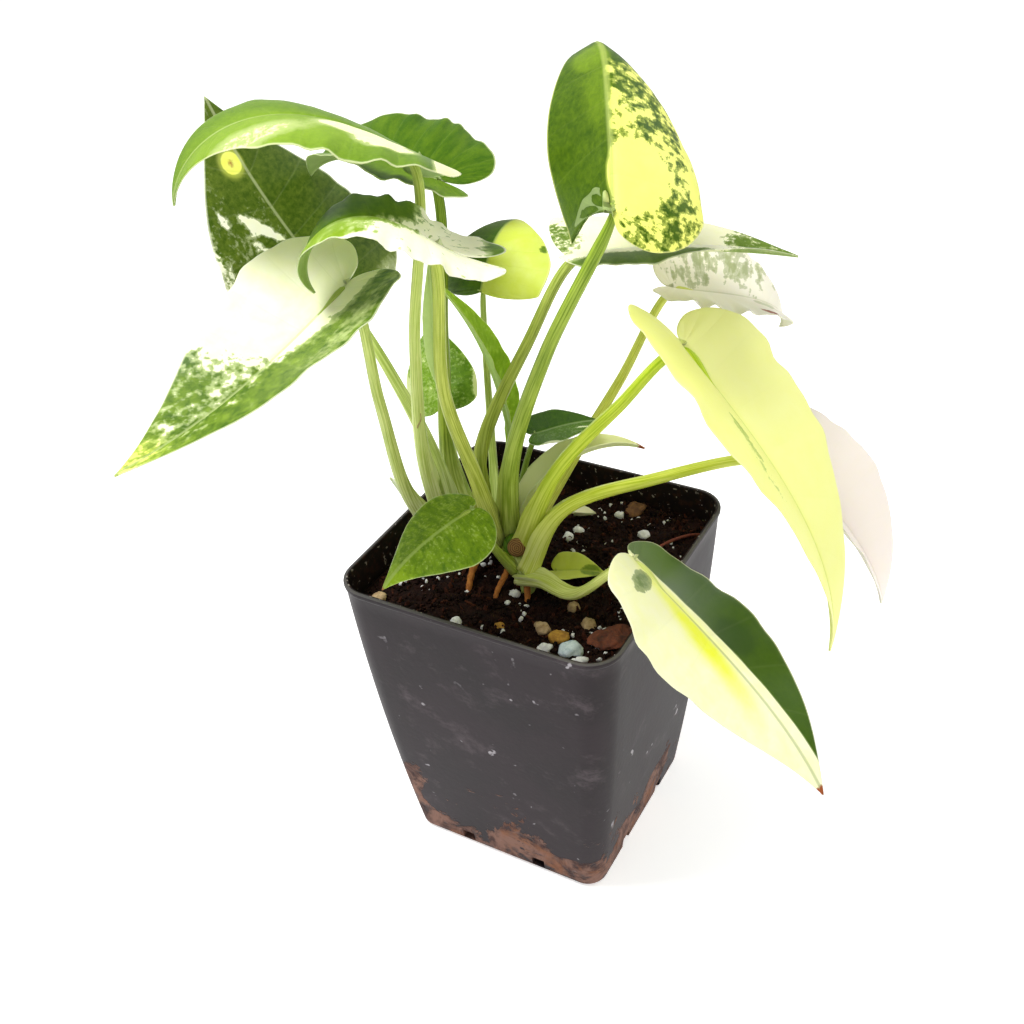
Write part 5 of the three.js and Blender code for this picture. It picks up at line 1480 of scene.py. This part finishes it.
# Lumps of perlite and stones, each sunk a little into the mix
STONES = {
    "perlite_lumps": (perlite, (0, 1, 8, 9, 10, 12, 14, 15)),
    "tan_stones": (
        earthy_material("tan_stone", "8a6a48", "d0b48c", 2.2, 0.55, 0.5, 0.3), (3, 4, 7, 11)),
    "ochre_stones": (
        earthy_material("ochre_stone", "8a5a1c", "c8983c", 2.0, 0.5, 0.6, 0.4), (5, 13)),
    "blue_white_stones": (
        earthy_material("blue_white_stone", "9fb4bf", "dfe9ee", 1.6, 0.6, 0.6, 0.4), (6,)),
    "brown_chip": (earthy_material("brown_chip", "4a2c18", "8a6038", 2.4, 0.5, 0.8, 0.6), (2,)),
}
for name, (material, chosen) in STONES.items():
    grains = []
    for i in chosen:
        x, y, radius, flat = LUMPS[i]
        z = float(mix_height(x, y)) + LUMP_LIFT * radius * flat
        size = (radius * LUMP_LONG, radius * LUMP_SLIM, radius * flat)
        grains.append(grain_body(np.array([x, y, z]), size, LUMP_ROUGH, i * 1.7 + 1, i * 40))
    add_piece(name, combined(grains), material, "potting_mix")

# What lies on the mix: a piece of bark, a thin root and a pale bract
half_size = [s / 2 for s in BARK["size"]]
bark = grain_body(np.array(BARK["at"], float), half_size, 0.42, 5.0, BARK["turn"], 4, 2.4)
add_piece("bark_piece", bark, earthy_material("bark", "3a1a10", "8a4a30", 4.0, 0.5, 0.9, 0.9),
          "potting_mix")
dry_root = tube_body(DRY_ROOT["route"], lambda a, s: 0.8 * DRY_ROOT["radius"] * (1 - 0.3 * s), 12, 40)
add_piece("dry_root", dry_root, earthy_material("dry_root_skin", "5a241a", "8f4a38", 1.5, 0.5, 0.5, 0.3),
          "potting_mix")
add_piece("loose_bract", blade_body(BRACT, THIN_LINES), leaf_material("bract_tissue", BRACT), "potting_mix")

add_camera()

# Studio: a white paper floor and backdrop under soft light
paper, _, shader = new_material("floor_paper", Roughness=0.9)
shader.inputs["Base Color"].default_value = (PAPER, PAPER, PAPER, 1)
shader.inputs["Emission Color"].default_value = (1, 1, 1, 1)
shader.inputs["Emission Strength"].default_value = FLOOR_GLOW
sheet = bpy.data.meshes.new("floor")
corners = [(-1, -1, 0), (1, -1, 0), (1, 1, 0), (-1, 1, 0)]
sheet.from_pydata([(FLOOR_REACH * x, FLOOR_REACH * y, z) for x, y, z in corners], [], [[0, 1, 2, 3]])
sheet.materials.append(paper)
linked("floor", sheet)

world = bpy.data.worlds.new("studio")
world.use_nodes = True
sky = world.node_tree
backdrop = sky.nodes["Background"].inputs
backdrop["Color"].default_value = (1, 1, 1, 1)
seen = sky.nodes.new("ShaderNodeLightPath").outputs["Is Camera Ray"]
strength = node(sky, "MapRange", {"Value": seen, "To Min": SKY_LIGHT, "To Max": SKY_SEEN}).outputs[0]
sky.links.new(strength, backdrop["Strength"])
scene.world = world
scene.view_settings.view_transform = "Standard"
for name, energy, size, place in LAMPS:
    light = bpy.data.lights.new(name, "AREA")
    light.energy, light.size = energy, size
    lamp = bpy.data.objects.new(name, light)
    lamp.location = place
    lamp.rotation_euler = (Vector(LAMPS_AIM) - lamp.location).to_track_quat("-Z", "Y").to_euler()
    scene.collection.objects.link(lamp)
